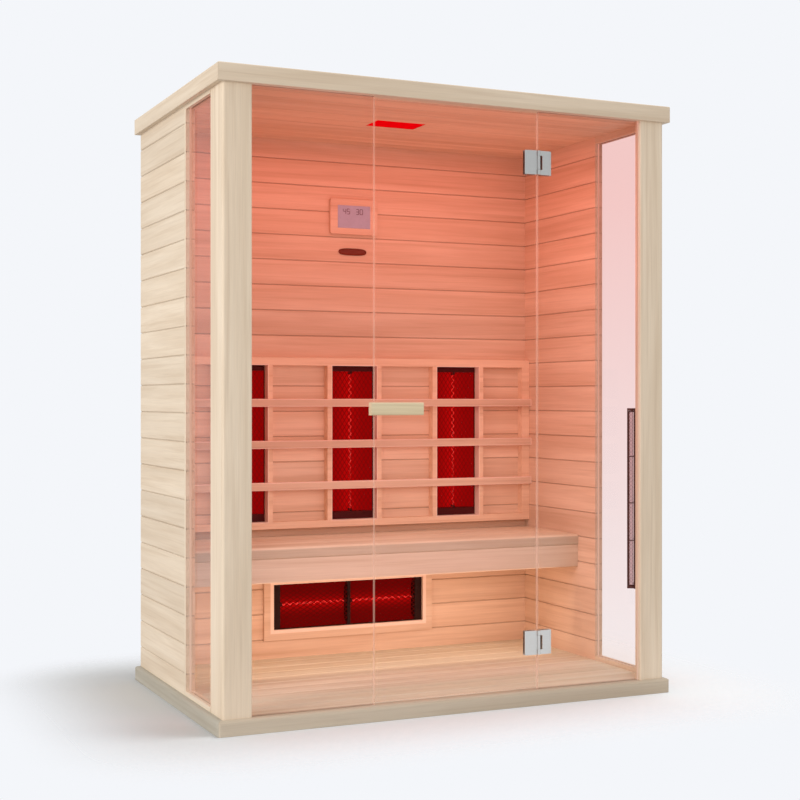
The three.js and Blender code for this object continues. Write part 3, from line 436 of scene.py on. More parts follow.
dress(woodFinish("outer boards side", "pale", "y", 3.1, jointShade=boards["outerShade"], **level),
      "left_wall_outer", "right_wall_outer")
dress(woodFinish("outer boards back", "pale", "x", 5.7, jointShade=boards["outerShade"], **level),
      "back_wall_outer")
dress(woodFinish("post wood", "pale", "z", 2.3), "left_front_post", "right_front_post")
dress(woodFinish("roof rail across", "pale", "x", 4.4), "roof_front_rail", "roof_back_rail")
dress(woodFinish("roof rail deep", "pale", "y", 6.2), "left_roof_rail", "right_roof_rail")
dress(woodFinish("base rail across", "base", "x", 1.4), "base_front_rail", "base_back_rail")
dress(woodFinish("base rail deep", "baseSide", "y", 7.2), "left_base_rail", "right_base_rail")
dress(woodFinish("roof sheet wood", "pale", "x", 8.5), "roof_sheet")
dress(woodFinish("inner boards side", "warm", "y", 1.9, **level),
      "left_wall_inner_boards", "right_wall_inner_boards", "left_bench_cleat", "right_bench_cleat")
# painted light on the boards inside the back rest's frame
dress(woodFinish("inner boards back", "warm", "x", 7.3, paintedLightIn=outlineOf("heater_surround"), **level),
      "back_wall_inner_boards")
dress(woodFinish("floor wood", "floor", "x", 9.4, **frontToBack("floor_boards", boards["pitch"])),
      "floor_boards")
dress(woodFinish("ceiling wood", "ceiling", "x", 2.8, **frontToBack("ceiling_boards", boards["pitch"])),
      "ceiling_boards")
dress(woodFinish("seat wood", "seat", "x", 5.1, **frontToBack("bench_seat", boards["seatPitch"])),
      "bench_seat")
dress(woodFinish("apron wood", "apron", "x", 3.6), "bench_apron")
dress(woodFinish("panel wood", "warm", "x", 3.6), "control_panel")
# each bar's outline carries a painted highlight
for bar in ("lower", "middle", "upper"):
    outline = outlineOf(f"back_rest_bar_{bar}")
    dress(woodFinish(f"{bar} bar wood", "warm", "x", outline["Z"][0], paintedHighlightAt=[outline], outside=True),
          f"back_rest_bar_{bar}")

# The surround's tone changes in long steps with no joint line, and the edges of its openings carry a
# painted highlight
surroundLook = {"halfWidth": 0.086, "low": 0.524, "high": 1.069, "pitch": 0.5, "first": 0.1}
openings = []
for side in ("left", "middle", "right"):
    centre = sum(outlineOf(f"{side}_heater_net")["X"]) / 2
    openings.append({"X": (centre - surroundLook["halfWidth"], centre + surroundLook["halfWidth"]),
                     "Z": (surroundLook["low"], surroundLook["high"])})
dress(woodFinish("surround wood", "surround", "x", 6.8, "z", surroundLook["pitch"], surroundLook["first"],
                 1.0, openings), "heater_surround")
# the edge of the leg heater's opening carries a painted highlight
dress(woodFinish("leg surround wood", "warm", "x", 2.9, paintedHighlightAt=[outlineOf("leg_heater_housing")]),
      "leg_heater_surround")
dress(woodFinish("handle wood", "handle", "x", 4.9), "door_handle_outer", "door_handle_inner")
print("wood done")

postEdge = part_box("right_front_post")[0].x + glassLook["heldGap"]
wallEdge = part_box("left_wall_inner_boards")[0].y + glassLook["heldGap"]
dress(glassFinish("door glass", "y", glassLook), "door_glass")
dress(glassFinish("front glass", "y", glassLook, "x", postEdge), "front_left_glass", "front_right_glass")
dress(glassFinish("side glass", "x", glassLook, "y", wallEdge), "left_side_glass", "right_side_glass")

# The upper hinge is a darker copy of the same steel: painted shade
hingeSteelByShade = {"lower": (0.71, 0.70, 0.67), "upper": (0.52, 0.52, 0.50)}
for place, colour in hingeSteelByShade.items():
    dress(brushedFinish(f"{place} hinge steel", colour, "x"),
          f"{place}_hinge_door_leaf", f"{place}_hinge_fixed_leaf")

coats = {
    "black coat": {"colour": (0.028, 0.008, 0.007), "roughness": 0.55, "gloss": 0.12},
    "tray coat": {"colour": (0.085, 0.010, 0.010), "roughness": 0.55, "gloss": 0.12},
    "emitter coat": {"colour": (0.115, 0.046, 0.042), "roughness": 0.5, "gloss": 0.15},
    "grey sheet": {"colour": (0.42, 0.43, 0.45), "roughness": 0.45, "metal": 0.6},
    "ceramic cap": {"colour": (0.07, 0.018, 0.016), "roughness": 0.6, "gloss": 0.1},
    "figure ink": {"colour": (0.20, 0.10, 0.13), "roughness": 0.5},
    "plate bronze": {"colour": (0.22, 0.035, 0.016), "roughness": 0.42, "metal": 0.2},
}
glows = {
    "light rim": {"body": (0.10, 0.01, 0.01), "glow": (1.0, 0.0, 0.004), "strength": 0.40},
    "red lens": {"body": (0.12, 0.0, 0.0), "glow": (1.0, 0.0, 0.004), "strength": 0.70},
    "display light": {"body": (0.30, 0.27, 0.30), "glow": (0.50, 0.36, 0.50), "strength": 0.34},
    # the nets are no lamps: their red glow is painted light from the heaters behind them
    "rear net coat and painted glow": {"body": (0.020, 0.002, 0.002), "glow": (1.0, 0.015, 0.015), "strength": 0.17},
    "leg net coat and painted glow": {"body": (0.020, 0.002, 0.002), "glow": (1.0, 0.03, 0.02), "strength": 0.085},
    # the troughs are no lamps: their glow, brightest along the middle, is painted light from the wires in
    # front of them
    "rear panel": {"body": (0.05, 0.002, 0.002), "glow": (1.0, 0.004, 0.004), "strength": 0.43,
                   "edgeStrength": 0.25},
    "leg panel": {"body": (0.04, 0.002, 0.002), "glow": (1.0, 0.004, 0.004), "strength": 0.48,
                  "edgeStrength": 0.125, "fallPower": 4.0},
    "rear hot wire": {"body": (0.3, 0.01, 0.01), "glow": (1.0, 0.055, 0.045), "strength": 0.66},
    "leg hot wire": {"body": (0.3, 0.01, 0.01), "glow": (1.0, 0.05, 0.045), "strength": 0.90},
}
coat = {name: coatedFinish(name, **look) for name, look in coats.items()}
glow = {name: glowFinish(name, **look) for name, look in glows.items()}
dress(coat["black coat"], "leg_heater_housing")
dress(coat["tray coat"], "left_heater_housing", "middle_heater_housing", "right_heater_housing")
dress(coat["emitter coat"], "left_emitter_guard", "right_emitter_guard")
dress(coat["grey sheet"], "power_unit")
dress(glow["light rim"], "ceiling_light_housing")
dress(glow["red lens"], "ceiling_light_lens")
dress(glow["display light"], "control_display")
print("glass, metal and lights done")


# Mesh making: a surface is its points and faces
def corners(node):
    low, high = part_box(node)
    return np.array(low), np.array(high)


def gridFaces(rows, columns, closeColumns=False):
    # quad (i, j) joins points (i, j), (i, j+1), (i+1, j+1), (i+1, j); closed columns wrap round
    i, j = np.meshgrid(np.arange(rows - 1), np.arange(columns - (not closeColumns)), indexing="ij")
    near, far = i * columns, (i + 1) * columns
    nextJ = (j + 1) % columns
    return np.stack([near + j, near + nextJ, far + nextJ, far + j], -1).reshape(-1, 4)


def makePiece(name, surface, material, body="cabin", replaced=(), smooth=True, uv=None):
    points, faces = surface
    mesh = bpy.data.meshes.new(name)
    mesh.from_pydata(points.reshape(-1, 3).tolist(), [], [list(map(int, face)) for face in faces])
    if uv is not None:
        layer = mesh.uv_layers.new(name="across")
        pointOf = np.zeros(len(mesh.loops), dtype=np.int32)
        mesh.loops.foreach_get("vertex_index", pointOf)
        layer.data.foreach_set("uv", np.asarray(uv, dtype=np.float32).reshape(-1, 2)[pointOf].ravel())
    mesh.polygons.foreach_set("use_smooth", np.full(len(mesh.polygons), smooth))
    mesh.materials.append(material)
    mesh.update()
    piece = bpy.data.objects.new(name, mesh)
    bpy.context.scene.collection.objects.link(piece)
    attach(piece, body)
    if replaced:
        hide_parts(*replaced)


def sweptTube(paths, side, radii, sides, turn=0.0):
    # ring point = path point + a cos(angle) along the side vector + b sin(angle) along tangent x side
    # paths: strands x points x 3, closed at both ends by flat caps
    paths = np.asarray(paths, float)
    tangent = np.gradient(paths, axis=1)
    tangent /= np.linalg.norm(tangent, axis=2, keepdims=True)
    first = np.broadcast_to(np.asarray(side, float), paths.shape)
    first = first - (first * tangent).sum(2, keepdims=True) * tangent
    first /= np.linalg.norm(first, axis=2, keepdims=True)
    second = np.cross(tangent, first)
    angle = turn + 2 * np.pi * np.arange(sides) / sides
    ring = (radii[0] * np.cos(angle))[:, None] * first[:, :, None, :]
    ring = ring + (radii[1] * np.sin(angle))[:, None] * second[:, :, None, :]
    points = paths[:, :, None, :] + ring
    strands, steps = paths.shape[:2]
    offsets = np.arange(strands) * steps * sides
    walls = gridFaces(steps, sides, closeColumns=True) + offsets[:, None, None]
    start = offsets[:, None] + np.arange(sides)[::-1]
    end = offsets[:, None] + (steps - 1) * sides + np.arange(sides)
    return points, [*walls.reshape(-1, 4).tolist(), *start.tolist(), *end.tolist()]


def revolved(profile, centre, axis, sides):
    # profile of (radius, distance along the axis) turned about the axis; it ends on it or where it began
    profile = np.asarray(profile, float)
    axis = np.asarray(axis, float)
    across = np.cross(axis, (0.0, 0.0, 1.0) if abs(axis[2]) < 0.5 else (1.0, 0.0, 0.0))
    upward = np.cross(axis, across)
    angle = 2 * np.pi * np.arange(sides) / sides
    spoke = np.cos(angle)[:, None] * across + np.sin(angle)[:, None] * upward
    points = np.asarray(centre) + profile[:, 1, None, None] * axis + profile[:, 0, None, None] * spoke
    return points, gridFaces(len(profile), sides, closeColumns=True)


def prism(first, last, caps=None):
    # outlines x corners x 3 at both ends, joined by quads and closed by caps, each a list of corners
    # an outline turns left, seen from its last end
    points = np.stack([first, last], 1)
    count, turns = len(first), len(first[0])
    caps = np.arange(turns)[None] if caps is None else np.asarray(caps)
    base = 2 * turns * np.arange(count)[:, None, None]
    walls = gridFaces(2, turns, closeColumns=True) + base
    ends = np.concatenate([caps[:, ::-1] + base, caps + turns + base])
    return points, [*walls.reshape(-1, 4).tolist(), *ends.reshape(-1, caps.shape[1]).tolist()]


def uprightPrism(plan, side, low, high, caps=None):
    # outlines x corners x 2 in plan, drawn from low to high; the left side mirrors the right
    if side == "left":
        plan = plan[:, ::-1] * (-1.0, 1.0)
    ends = [np.concatenate([plan, np.full((*plan.shape[:2], 1), z)], 2) for z in (low, high)]
    return prism(*ends, caps)


# Expanded mesh: zigzag strands that nearly meet their neighbours at every bend, so that diamonds stay open
netLook = {"cellAcross": 0.0160, "cellAlong": 0.0255, "thick": 0.0007, "wide": 0.0017, "meet": 0.96}


def diamondNet(low, high, along, across, depth, look):
    # strands run along one axis; each swings by a quarter of a cell, and odd ones swing the other way
    length = high[along] - low[along]
    width = high[across] - low[across]
    count = int(round(width / look["cellAcross"]))
    cell = width / count
    bends = 2 * int(round(length / look["cellAlong"]))
    t = np.arange(bends + 1)
    strand = np.arange(2 * count)[:, None]
    swing = look["meet"] * 0.25 * cell * np.where((t + strand) % 2 == 0, 1.0, -1.0)
    paths = np.zeros((2 * count, bends + 1, 3))
    paths[..., along] = low[along] + length * t / bends
    paths[..., across] = low[across] + (strand + 0.5) * cell / 2 + swing
    paths[..., 3 - along - across] = depth
    return sweptTube(paths, (0.0, 1.0, 0.0), (look["thick"], look["wide"]), 4, math.pi / 4)


# Heating element: a wound wire in a quartz tube with a ceramic cap at each end
coilLook = {"radius": 0.0042, "pitch": 0.024, "wire": 0.0016, "stepsPerCurl": 14, "sides": 8,
            "ringSide": (0.3, 0.9, 0.25)}
tubeLook = {"radius": 0.0068, "wall": 0.0007, "inset": 0.002, "sides": 28, "behindNet": 0.0086,
            "capRadius": 0.0080, "capLength": 0.010, "capBase": 0.003, "capEase": 0.002, "capGap": 0.0002,
            "clear": (1.0, 0.86, 0.85), "shine": (1.0, 0.75, 0.7), "polish": 0.05, "straight": 0.02,
            "grazing": 0.4}


def quartzFinish(look):
    material, tree = newMaterial("quartz tube")
    gloss = glossShader(tree, look["shine"], look["polish"])
    mirror = mirrorShare(tree, look["straight"], look["grazing"])
    finishWith(tree, mixShader(tree, mirror, clearShader(tree, look["clear"]), gloss))
    return material


def coilPath(start, length, axis, look):
    # helix about the axis, opening from it over half a curl at each end
    across = np.array((0.0, 1.0, 0.0))
    upward = np.cross(axis, across)
    curls = int(round(length / look["pitch"]))
    t = np.linspace(0.0, 1.0, curls * look["stepsPerCurl"] + 1)[:, None]
    radius = look["radius"] * np.minimum(1.0, 2 * curls * np.minimum(t, 1 - t))
    angle = 2 * np.pi * curls * t
    return start + t * length * axis + radius * (np.cos(angle) * across + np.sin(angle) * upward)


quartz = quartzFinish(tubeLook)


def heatingElement(name, coilNode, axisIndex, netBack, wire):
    look = tubeLook
    low, high = corners(coilNode)
    start = (low + high) / 2
    start[1] = netBack + look["behindNet"]
    end = start.copy()
    start[axisIndex], end[axisIndex] = low[axisIndex], high[axisIndex]
    length = np.linalg.norm(end - start)
    axis = (end - start) / length
    path = coilPath(start, length, axis, coilLook)
    coil = sweptTube([path], coilLook["ringSide"], [coilLook["wire"]] * 2, coilLook["sides"])
    makePiece(name + "_wire", coil, wire, replaced=(coilNode,))
    outer, inner = look["radius"], look["radius"] - look["wall"]
    near, far = look["inset"], length - look["inset"]
    tube = [(inner, near), (outer, near), (outer, far), (inner, far), (inner, near)]
    makePiece(name + "_quartz", revolved(tube, start, axis, look["sides"]), quartz)
    rim, long, ease = look["capRadius"], look["capLength"], look["capEase"]
    bore, base = outer + look["capGap"], look["capBase"]
    cap = [(0, 0), (rim, 0), (rim, long - ease), (rim - ease, long), (bore, long), (bore, base), (0, base)]
    for side, at, way in (("start", start, axis), ("end", end, -axis)):
        makePiece(f"{name}_cap_{side}", revolved(cap, at, way, look["sides"]), coat["ceramic cap"])


# Trough behind each wire, glowing with painted light that stands for the wire's light on it
panelLook = {"rowsAcross": 33, "rowsAlong": 9, "power": 6, "thick": 0.001, "fromBack": 0.0045,
             "behindNet": 0.002, "legDepth": 0.024}


def glowPanel(name, low, high, along, across, back, depth, material):
    # the trough comes forward with the sixth power of the distance from its middle line
    u = np.sin(np.pi / 2 * np.linspace(-1, 1, panelLook["rowsAcross"]))
    v = np.linspace(0, 1, panelLook["rowsAlong"])[:, None]
    shape = (len(v), len(u))
    front = np.zeros((*shape, 3))
    front[..., along] = low[along] + (high[along] - low[along]) * v
    front[..., across] = (low[across] + high[across]) / 2 + (high[across] - low[across]) / 2 * u
    front[..., 1] = back - depth * u ** panelLook["power"]
    points = np.stack([front, front + (0.0, panelLook["thick"], 0.0)])
    uv = np.stack(np.broadcast_arrays((u + 1) / 2, v), -1)
    size = shape[0] * shape[1]
    index = np.arange(size).reshape(shape)
    rim = np.concatenate([index[0, :-1], index[:-1, -1], index[-1, :0:-1], index[:0:-1, 0]])
    nextRim = np.roll(rim, -1)
    sheet = gridFaces(*shape)
    faces = np.concatenate([sheet, sheet[:, ::-1] + size,
                            np.stack([rim + size, nextRim + size, nextRim, rim], -1)])
    if along < across:     # the grid is then turned over
        faces = faces[:, ::-1]
    makePiece(name, (points, faces), material, uv=np.stack([uv, uv]))


for side in ("left", "middle", "right"):
    netNode = f"{side}_heater_net"
    low, high = corners(netNode)
    net = diamondNet(low, high, 2, 0, (low[1] + high[1]) / 2, netLook)
    makePiece(f"{side}_heater_mesh", net, glow["rear net coat and painted glow"], replaced=(netNode,),
              smooth=False)
    heatingElement(f"{side}_heater", f"{side}_heater_coil", 2, high[1], glow["rear hot wire"])
    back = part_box(f"{side}_heater_housing")[1].y - panelLook["fromBack"]
    depth = back - high[1] - panelLook["behindNet"]
    glowPanel(f"{side}_heater_panel", low, high, 2, 0, back, depth, glow["rear panel"])

legLook = {"wall": 0.0123, "netDepth": 0.003, "netBack": 0.004}
trayLow, trayHigh = corners("leg_heater_housing")
for side in ("left", "right"):
    coilNode = f"leg_heater_coil_{side}"
    low, high = corners(coilNode)
    low[2], high[2] = trayLow[2] + legLook["wall"], trayHigh[2] - legLook["wall"]
    net = diamondNet(low, high, 0, 2, trayLow[1] + legLook["netDepth"], netLook)
    makePiece(f"leg_heater_mesh_{side}", net, glow["leg net coat and painted glow"], smooth=False)
    heatingElement(f"leg_heater_{side}", coilNode, 0, trayLow[1] + legLook["netBack"], glow["leg hot wire"])
    glowPanel(f"leg_heater_panel_{side}", low, high, 0, 2, trayHigh[1] - panelLook["fromBack"],
              panelLook["legDepth"], glow["leg panel"])
print("heaters done")


# Display figures: seven-segment numbers, each segment a thin bar with pointed ends
figureLook = {"height": 0.018, "width": 0.010, "stroke": 0.0021, "thick": 0.0004, "gap": 0.0050,
              "rise": 0.62,
              "rows": {"temperature": (0.020, (4, 5)), "minutes": (0.070, (3, 0))}}     # start, digits
segmentsOf = {0: "abcdef", 3: "abgcd", 4: "fgbc", 5: "afgcd"}
segmentEnds = {
    "a": ((0, 1), (1, 1)), "b": ((1, 0.5), (1, 1)), "c": ((1, 0), (1, 0.5)), "d": ((0, 0), (1, 0)),
    "e": ((0, 0), (0, 0.5)), "f": ((0, 0.5), (0, 1)), "g": ((0, 0.5), (1, 0.5))}


def figureBars(digit, x, y, z, look):
    # each bar is a flat hexagon along its segment, pushed out by the ink's thickness
    ends = np.array([segmentEnds[key] for key in segmentsOf[digit]]) * (look["width"], look["height"])
    start, end = ends[:, 0], ends[:, 1]
    tip = (end - start) / np.linalg.norm(end - start, axis=1, keepdims=True) * look["stroke"] / 2
    side = tip[:, ::-1] * (-1.0, 1.0)
    outline = np.stack([start, start + tip - side, end - tip - side,
                        end, end - tip + side, start + tip + side], 1)
    back = np.stack([x + outline[..., 0], np.full(outline.shape[:2], y), z + outline[..., 1]], -1)
    return prism(back, back - (0.0, look["thick"], 0.0))


displayLow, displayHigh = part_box("control_display")
figureZ = displayLow.z + figureLook["rise"] * (displayHigh.z - displayLow.z)
for name, (start, digits) in figureLook["rows"].items():
    for place, digit in enumerate(digits):
        x = displayLow.x + start + place * (figureLook["width"] + figureLook["gap"])
        makePiece(f"figure_{name}_{place}", figureBars(digit, x, displayLow.y, figureZ, figureLook),
                  coat["figure ink"], smooth=False)
print("figures done")


# Bare oval plate below the control panel: a long rounded outline with a raised rim and a hollowed face
plateLook = {
    "x": 0.010, "z": 1.477, "width": 0.106, "height": 0.025, "thick": 0.004, "rim": 0.0022, "corner": 3,
    "sides": 96, "least": (0.05, 0.02),
    # rings from the wall to the hollow: inset in rims, rise in thicknesses
    "rings": ((0.0, 0.0), (0.0, 0.75), (0.25, 1.0), (0.85, 1.0), (1.1, 0.6), (3.0, 0.55), (5.4, 0.55)),
}


def ovalPlate(look):
    # outline: x = a|cos|^(2/n), z = b|sin|^(2/n), each ring shrunk by its inset and lifted by its rise
    sides = look["sides"]
    angle = np.linspace(0, 2 * np.pi, sides, endpoint=False)
    circle = np.stack([np.cos(angle), np.sin(angle)], -1)
    half = np.array((look["width"], look["height"])) / 2
    outline = np.sign(circle) * np.abs(circle) ** (2 / look["corner"]) * half
    rings = np.array(look["rings"])
    shrink = np.maximum(1 - rings[:, :1] * look["rim"] / half, look["least"])
    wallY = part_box("back_wall_inner_boards")[0].y
    points = np.zeros((len(rings), sides, 3))
    points[..., [0, 2]] = (look["x"], look["z"]) + outline * shrink[:, None]
    points[..., 1] = wallY - rings[:, 1:] * look["thick"]
    last = (len(rings) - 1) * sides
    faces = gridFaces(len(rings), sides, closeColumns=True).tolist()
    return points, [*faces, list(range(last, last + sides)), list(range(sides))[::-1]]


makePiece("oval_plate", ovalPlate(plateLook), coat["plate bronze"])
print("plate done")


# Screws on the inner clamp plates of the hinges: a countersunk head with a round socket
screwLook = {"radius": 0.0052, "rise": 0.0007, "socket": 0.0024, "deep": 0.0016, "sunk": 0.0004,
             "ease": 0.4, "sides": 24, "spacing": 0.036, "fromEdge": 0.0203,
             "colour": (0.5, 0.5, 0.49), "roughness": 0.3}


def screwHead(x, y, z, look):
    # half section turned about its axis: flat back, rim, eased edge, face, socket wall and floor
    radius, socket, rise, sunk = (look[key] for key in ("radius", "socket", "rise", "sunk"))
    floor = rise - look["deep"]
    profile = [(0, -sunk), (radius, -sunk), (radius, rise * look["ease"]), (radius - rise, rise),
               (socket, rise), (socket, floor), (0, floor)]
    return revolved(profile, (x, y, z), (0, 1, 0), look["sides"])


screwSteel = brushedFinish("screw steel", screwLook["colour"], "z", screwLook["roughness"])
for place in ("lower", "upper"):
    for leaf, body in (("door", "door"), ("fixed", "cabin")):
        low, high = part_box(f"{place}_hinge_{leaf}_leaf")
        x = low.x + screwLook["fromEdge"] if leaf == "door" else high.x - screwLook["fromEdge"]
        for row, way in (("low", -1), ("high", 1)):
            z = (low.z + high.z) / 2 + way * screwLook["spacing"] / 2
            makePiece(f"{place}_{leaf}_screw_{row}", screwHead(x, high.y, z, screwLook), screwSteel,
                      body)
print("screws done")


# Narrow upright trim over the front ends of the outer boards, beside each side window
trimLook = {"width": 0.014, "thick": 0.0012, "ease": 0.0005, "endGap": 0.008}


def trimStrip(side, look):
    # a flat bar's outline in plan, its outer corners cut back by the ease, drawn from the sill to the roof
    wall = max(abs(corner.x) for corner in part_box(f"{side}_wall_outer"))
    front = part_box(f"{side}_wall_inner_boards")[0].y
    paneLow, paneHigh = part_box(f"{side}_side_glass")
    ease, out, back = look["ease"], wall + look["thick"], front + look["width"]
    plan = np.array([(wall, front), (out - ease, front), (out, front + ease),
                     (out, back - ease), (out - ease, back), (wall, back)])
    return uprightPrism(plan[None], side, paneLow.z + look["endGap"], paneHigh.z - look["endGap"])


trimWood = woodFinish("trim wood", "pale", "z", 8.1)
for side in ("left", "right"):
    makePiece(f"{side}_window_trim", trimStrip(side, trimLook), trimWood, smooth=False)
print("trim done")


# Corner emitters: a case with a pale rod, and over its cage a fine mesh, a film and the edge rails
cageLook = {
    "postGap": 0.002, "frontGap": 0.0283, "wallGap": 0.0003, "endGap": 0.001,
    "width": 0.0685, "back": 0.0075, "reach": 0.0265,
    "cell": 0.0075, "along": 0.012, "wire": 0.0005, "meet": 0.48,
    "film": 0.0003, "filmInset": 0.0012, "rail": (0.0044, 0.0008), "backRail": (0.0022, 0.0066),
    "rodReach": 0.013, "rodRadius": 0.0056,
    "rodTones": ((0.72, 0.50, 0.48), (0.60, 0.42, 0.41)),
    "caseTones": ((0.115, 0.046, 0.042), (0.085, 0.036, 0.034)),
    "filmTones": ((0.86, 0.68, 0.73), (0.78, 0.61, 0.66)),
    "filmClear": (0.95, 0.86, 0.87), "filmShare": 0.80,
    "caseCloud": 30.0, "filmCloud": 90.0, "caseRoughness": 0.5, "rodRoughness": 0.25, "gloss": 0.2,
}
mirrorOf = {"left": -1.0, "right": 1.0}


def cornerLine(side, look):
    # the emitter's back line in plan, from the post's inner corner to the wall, given for the right side:
    # start, directions along and out of it, length
    postLow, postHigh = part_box(f"{side}_front_post")
    post = min(abs(postLow.x), abs(postHigh.x))
    wall = min(abs(corner.x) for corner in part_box(f"{side}_wall_inner_boards"))
    start = np.array((post + look["postGap"], postLow.y + look["frontGap"]))
    end = np.array((wall - look["wallGap"], postHigh.y - look["postGap"]))
    span = np.linalg.norm(end - start)
    along = (end - start) / span
    return start, np.array((along, (-along[1], along[0]))), span


def cageEnds(side, look):
    low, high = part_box(f"{side}_emitter_guard")
    return low.z + look["endGap"], high.z - look["endGap"]


def emitterFinish(side, look):
    # dark case, and a pale quartz rod wherever the plan distance from the rod's axis is under its radius
    material, tree = newMaterial(f"{side} emitter case")
    start, ways, span = cornerLine(side, look)
    axis = start + (span / 2, look["rodReach"]) @ ways
    place = objectPlace(tree)
    parts = splitUp(tree, place)
    flat = addNode(tree, "CombineXYZ", {0: parts["X"], 1: parts["Y"]}).outputs[0]
    fromAxis = vectorCalc(tree, "DISTANCE", flat, (mirrorOf[side] * axis[0], axis[1], 0.0))
    onRod = calc(tree, "LESS_THAN", fromAxis, look["rodRadius"])
    cloud = noise(tree, place, look["caseCloud"], 3.0)
    case, rod = (mixColour(tree, cloud, *look[key]) for key in ("caseTones", "rodTones"))
    shader = addNode(tree, "BsdfPrincipled", {
        "Base Color": mixColour(tree, onRod, case, rod), "Specular IOR Level": look["gloss"],
        "Roughness": spread(tree, onRod, 0.0, 1.0, look["caseRoughness"], look["rodRoughness"])})
    finishWith(tree, shader.outputs[0])
    return material


def filmFinish(look):
    material, tree = newMaterial("fine mesh film")
    cloud = noise(tree, objectPlace(tree), look["filmCloud"])
    thread = addNode(tree, "BsdfDiffuse", {"Color": mixColour(tree, cloud, *look["filmTones"])})
    clear = clearShader(tree, look["filmClear"])
    finishWith(tree, mixShader(tree, look["filmShare"], clear, thread.outputs[0]))
    return material


def cageMesh(side, look):
    # strands zigzag up the cage; across it they follow a U of two short cheeks and the broad front
    mirror = mirrorOf[side]
    low, high = cageEnds(side, look)
    start, ways, span = cornerLine(side, look)
    cheek = look["reach"] - look["back"]
    girth = look["width"] + 2 * cheek
    count = int(round(girth / look["cell"]))
    strand = np.arange(count)[:, None]
    bends = 2 * int(round((high - low + 2 * look["endGap"]) / look["along"]))
    t = np.arange(bends + 1)
    swing = look["meet"] * 0.5 * np.where((t + strand) % 2 == 0, 1.0, -1.0)
    around = np.clip((strand + 0.5 + swing) * girth / count, 0, girth)
    across = np.clip(around - cheek, 0, look["width"]) + (span - look["width"]) / 2
    reach = look["back"] + np.minimum(np.minimum(around, girth - around), cheek)
    plan = start + np.stack([across, reach], -1) @ ways
    z = np.broadcast_to(low + (high - low) * t / bends, plan.shape[:2])
    paths = np.stack([mirror * plan[..., 0], plan[..., 1], z], -1)
    out = ways[1]
    return sweptTube(paths, (mirror * out[0], out[1], 0.0), [look["wire"]] * 2, 4, math.pi / 4)


def cageSides(side, look):
    span = cornerLine(side, look)[2]
    return (span - look["width"]) / 2, (span + look["width"]) / 2, look["reach"] - look["filmInset"]


def cagePrism(outlines, side, look, caps=None):
    # outlines are given as distances along the back line and out of it
    start, ways, _ = cornerLine(side, look)
    return uprightPrism(start + np.array(outlines) @ ways, side, *cageEnds(side, look), caps)


def filmSheet(side, look):
    # the same U as the cage mesh, drawn as one thin sheet: outer and inner faces a film's thickness apart
    near, far, front = cageSides(side, look)
    back, thick = look["back"], look["film"]
    outer = [(far, back), (far, front), (near, front), (near, back)]
    inner = [(near + thick, back), (near + thick, front - thick), (far - thick, front - thick),
             (far - thick, back)]
    return cagePrism([outer + inner], side, look, ((0, 1, 6, 7), (1, 2, 5, 6), (2, 3, 4, 5)))


def cageRails(side, look):
    # flat bars along the edges of the U: rectangles in plan, drawn from the foot of the cage to its top
    near, far, front = cageSides(side, look)
    wide, thick = look["rail"]
    frontRail = (front - wide, front)
    bars = np.array([
        (near - thick, near, *frontRail), (near - thick, near, *look["backRail"]),
        (far, far + thick, *frontRail), (far, far + thick, *look["backRail"]),
        (near, near + wide, front, front + thick), (far - wide, far, front, front + thick)])
    return cagePrism(bars[:, [[0, 2], [1, 2], [1, 3], [0, 3]]], side, look)


film = filmFinish(cageLook)
for side in ("left", "right"):
    makePiece(f"{side}_emitter_film", filmSheet(side, cageLook), film, smooth=False)
    makePiece(f"{side}_emitter_rails", cageRails(side, cageLook), coat["emitter coat"],
              smooth=False)
    dress(emitterFinish(side, cageLook), f"{side}_emitter_housing")
    makePiece(f"{side}_emitter_mesh", cageMesh(side, cageLook), coat["emitter coat"],
              smooth=False)
print("emitters done")


# Floor, backdrop and light
stageLook = {
    "paper": (0.905, 0.922, 0.956), "ambient": 0.56, "ambientTone": (1.0, 0.99, 0.97),
    "floor": (0.905, 0.93, 0.96), "floorReach": 8.0, "floorDrop": 0.0005, "floorRows": 9,
    "fadeFrom": 0.04, "fadeTo": 0.55,
}


def addFloor(look):
    # a flat grid; its colour fades to clear with the distance outside the cabin's footprint
    rows = look["floorRows"]
    u = np.linspace(-look["floorReach"], look["floorReach"], rows)
    x, y = np.meshgrid(u, u, indexing="ij")
    points = np.stack([x, y, np.full_like(x, -look["floorDrop"])], -1)
    material, tree = newMaterial("studio floor")
    half = [max(abs(low), abs(high)) for low, high in zip(*cadBox)][:2]
    spot = vectorCalc(tree, "ABSOLUTE", objectPlace(tree))
    past = vectorCalc(tree, "MAXIMUM", vectorCalc(tree, "SUBTRACT", spot, (*half, 0.0)), (0.0, 0.0, 0.0))
    distance = vectorCalc(tree, "LENGTH", past)
    fade = spread(tree, distance, look["fadeFrom"], look["fadeTo"], curve="SMOOTHSTEP")
    paint = addNode(tree, "BsdfDiffuse", {"Color": solid(look["floor"])})
    finishWith(tree, mixShader(tree, fade, paint.outputs[0], clearShader(tree, (1.0, 1.0, 1.0))))
    mesh = bpy.data.meshes.new("studio_floor")
    mesh.from_pydata(points.reshape(-1, 3).tolist(), [], gridFaces(rows, rows)[:, ::-1].tolist())
    mesh.materials.append(material)
    floor = bpy.data.objects.new("studio_floor", mesh)
    bpy.context.scene.collection.objects.link(floor)
    return floor


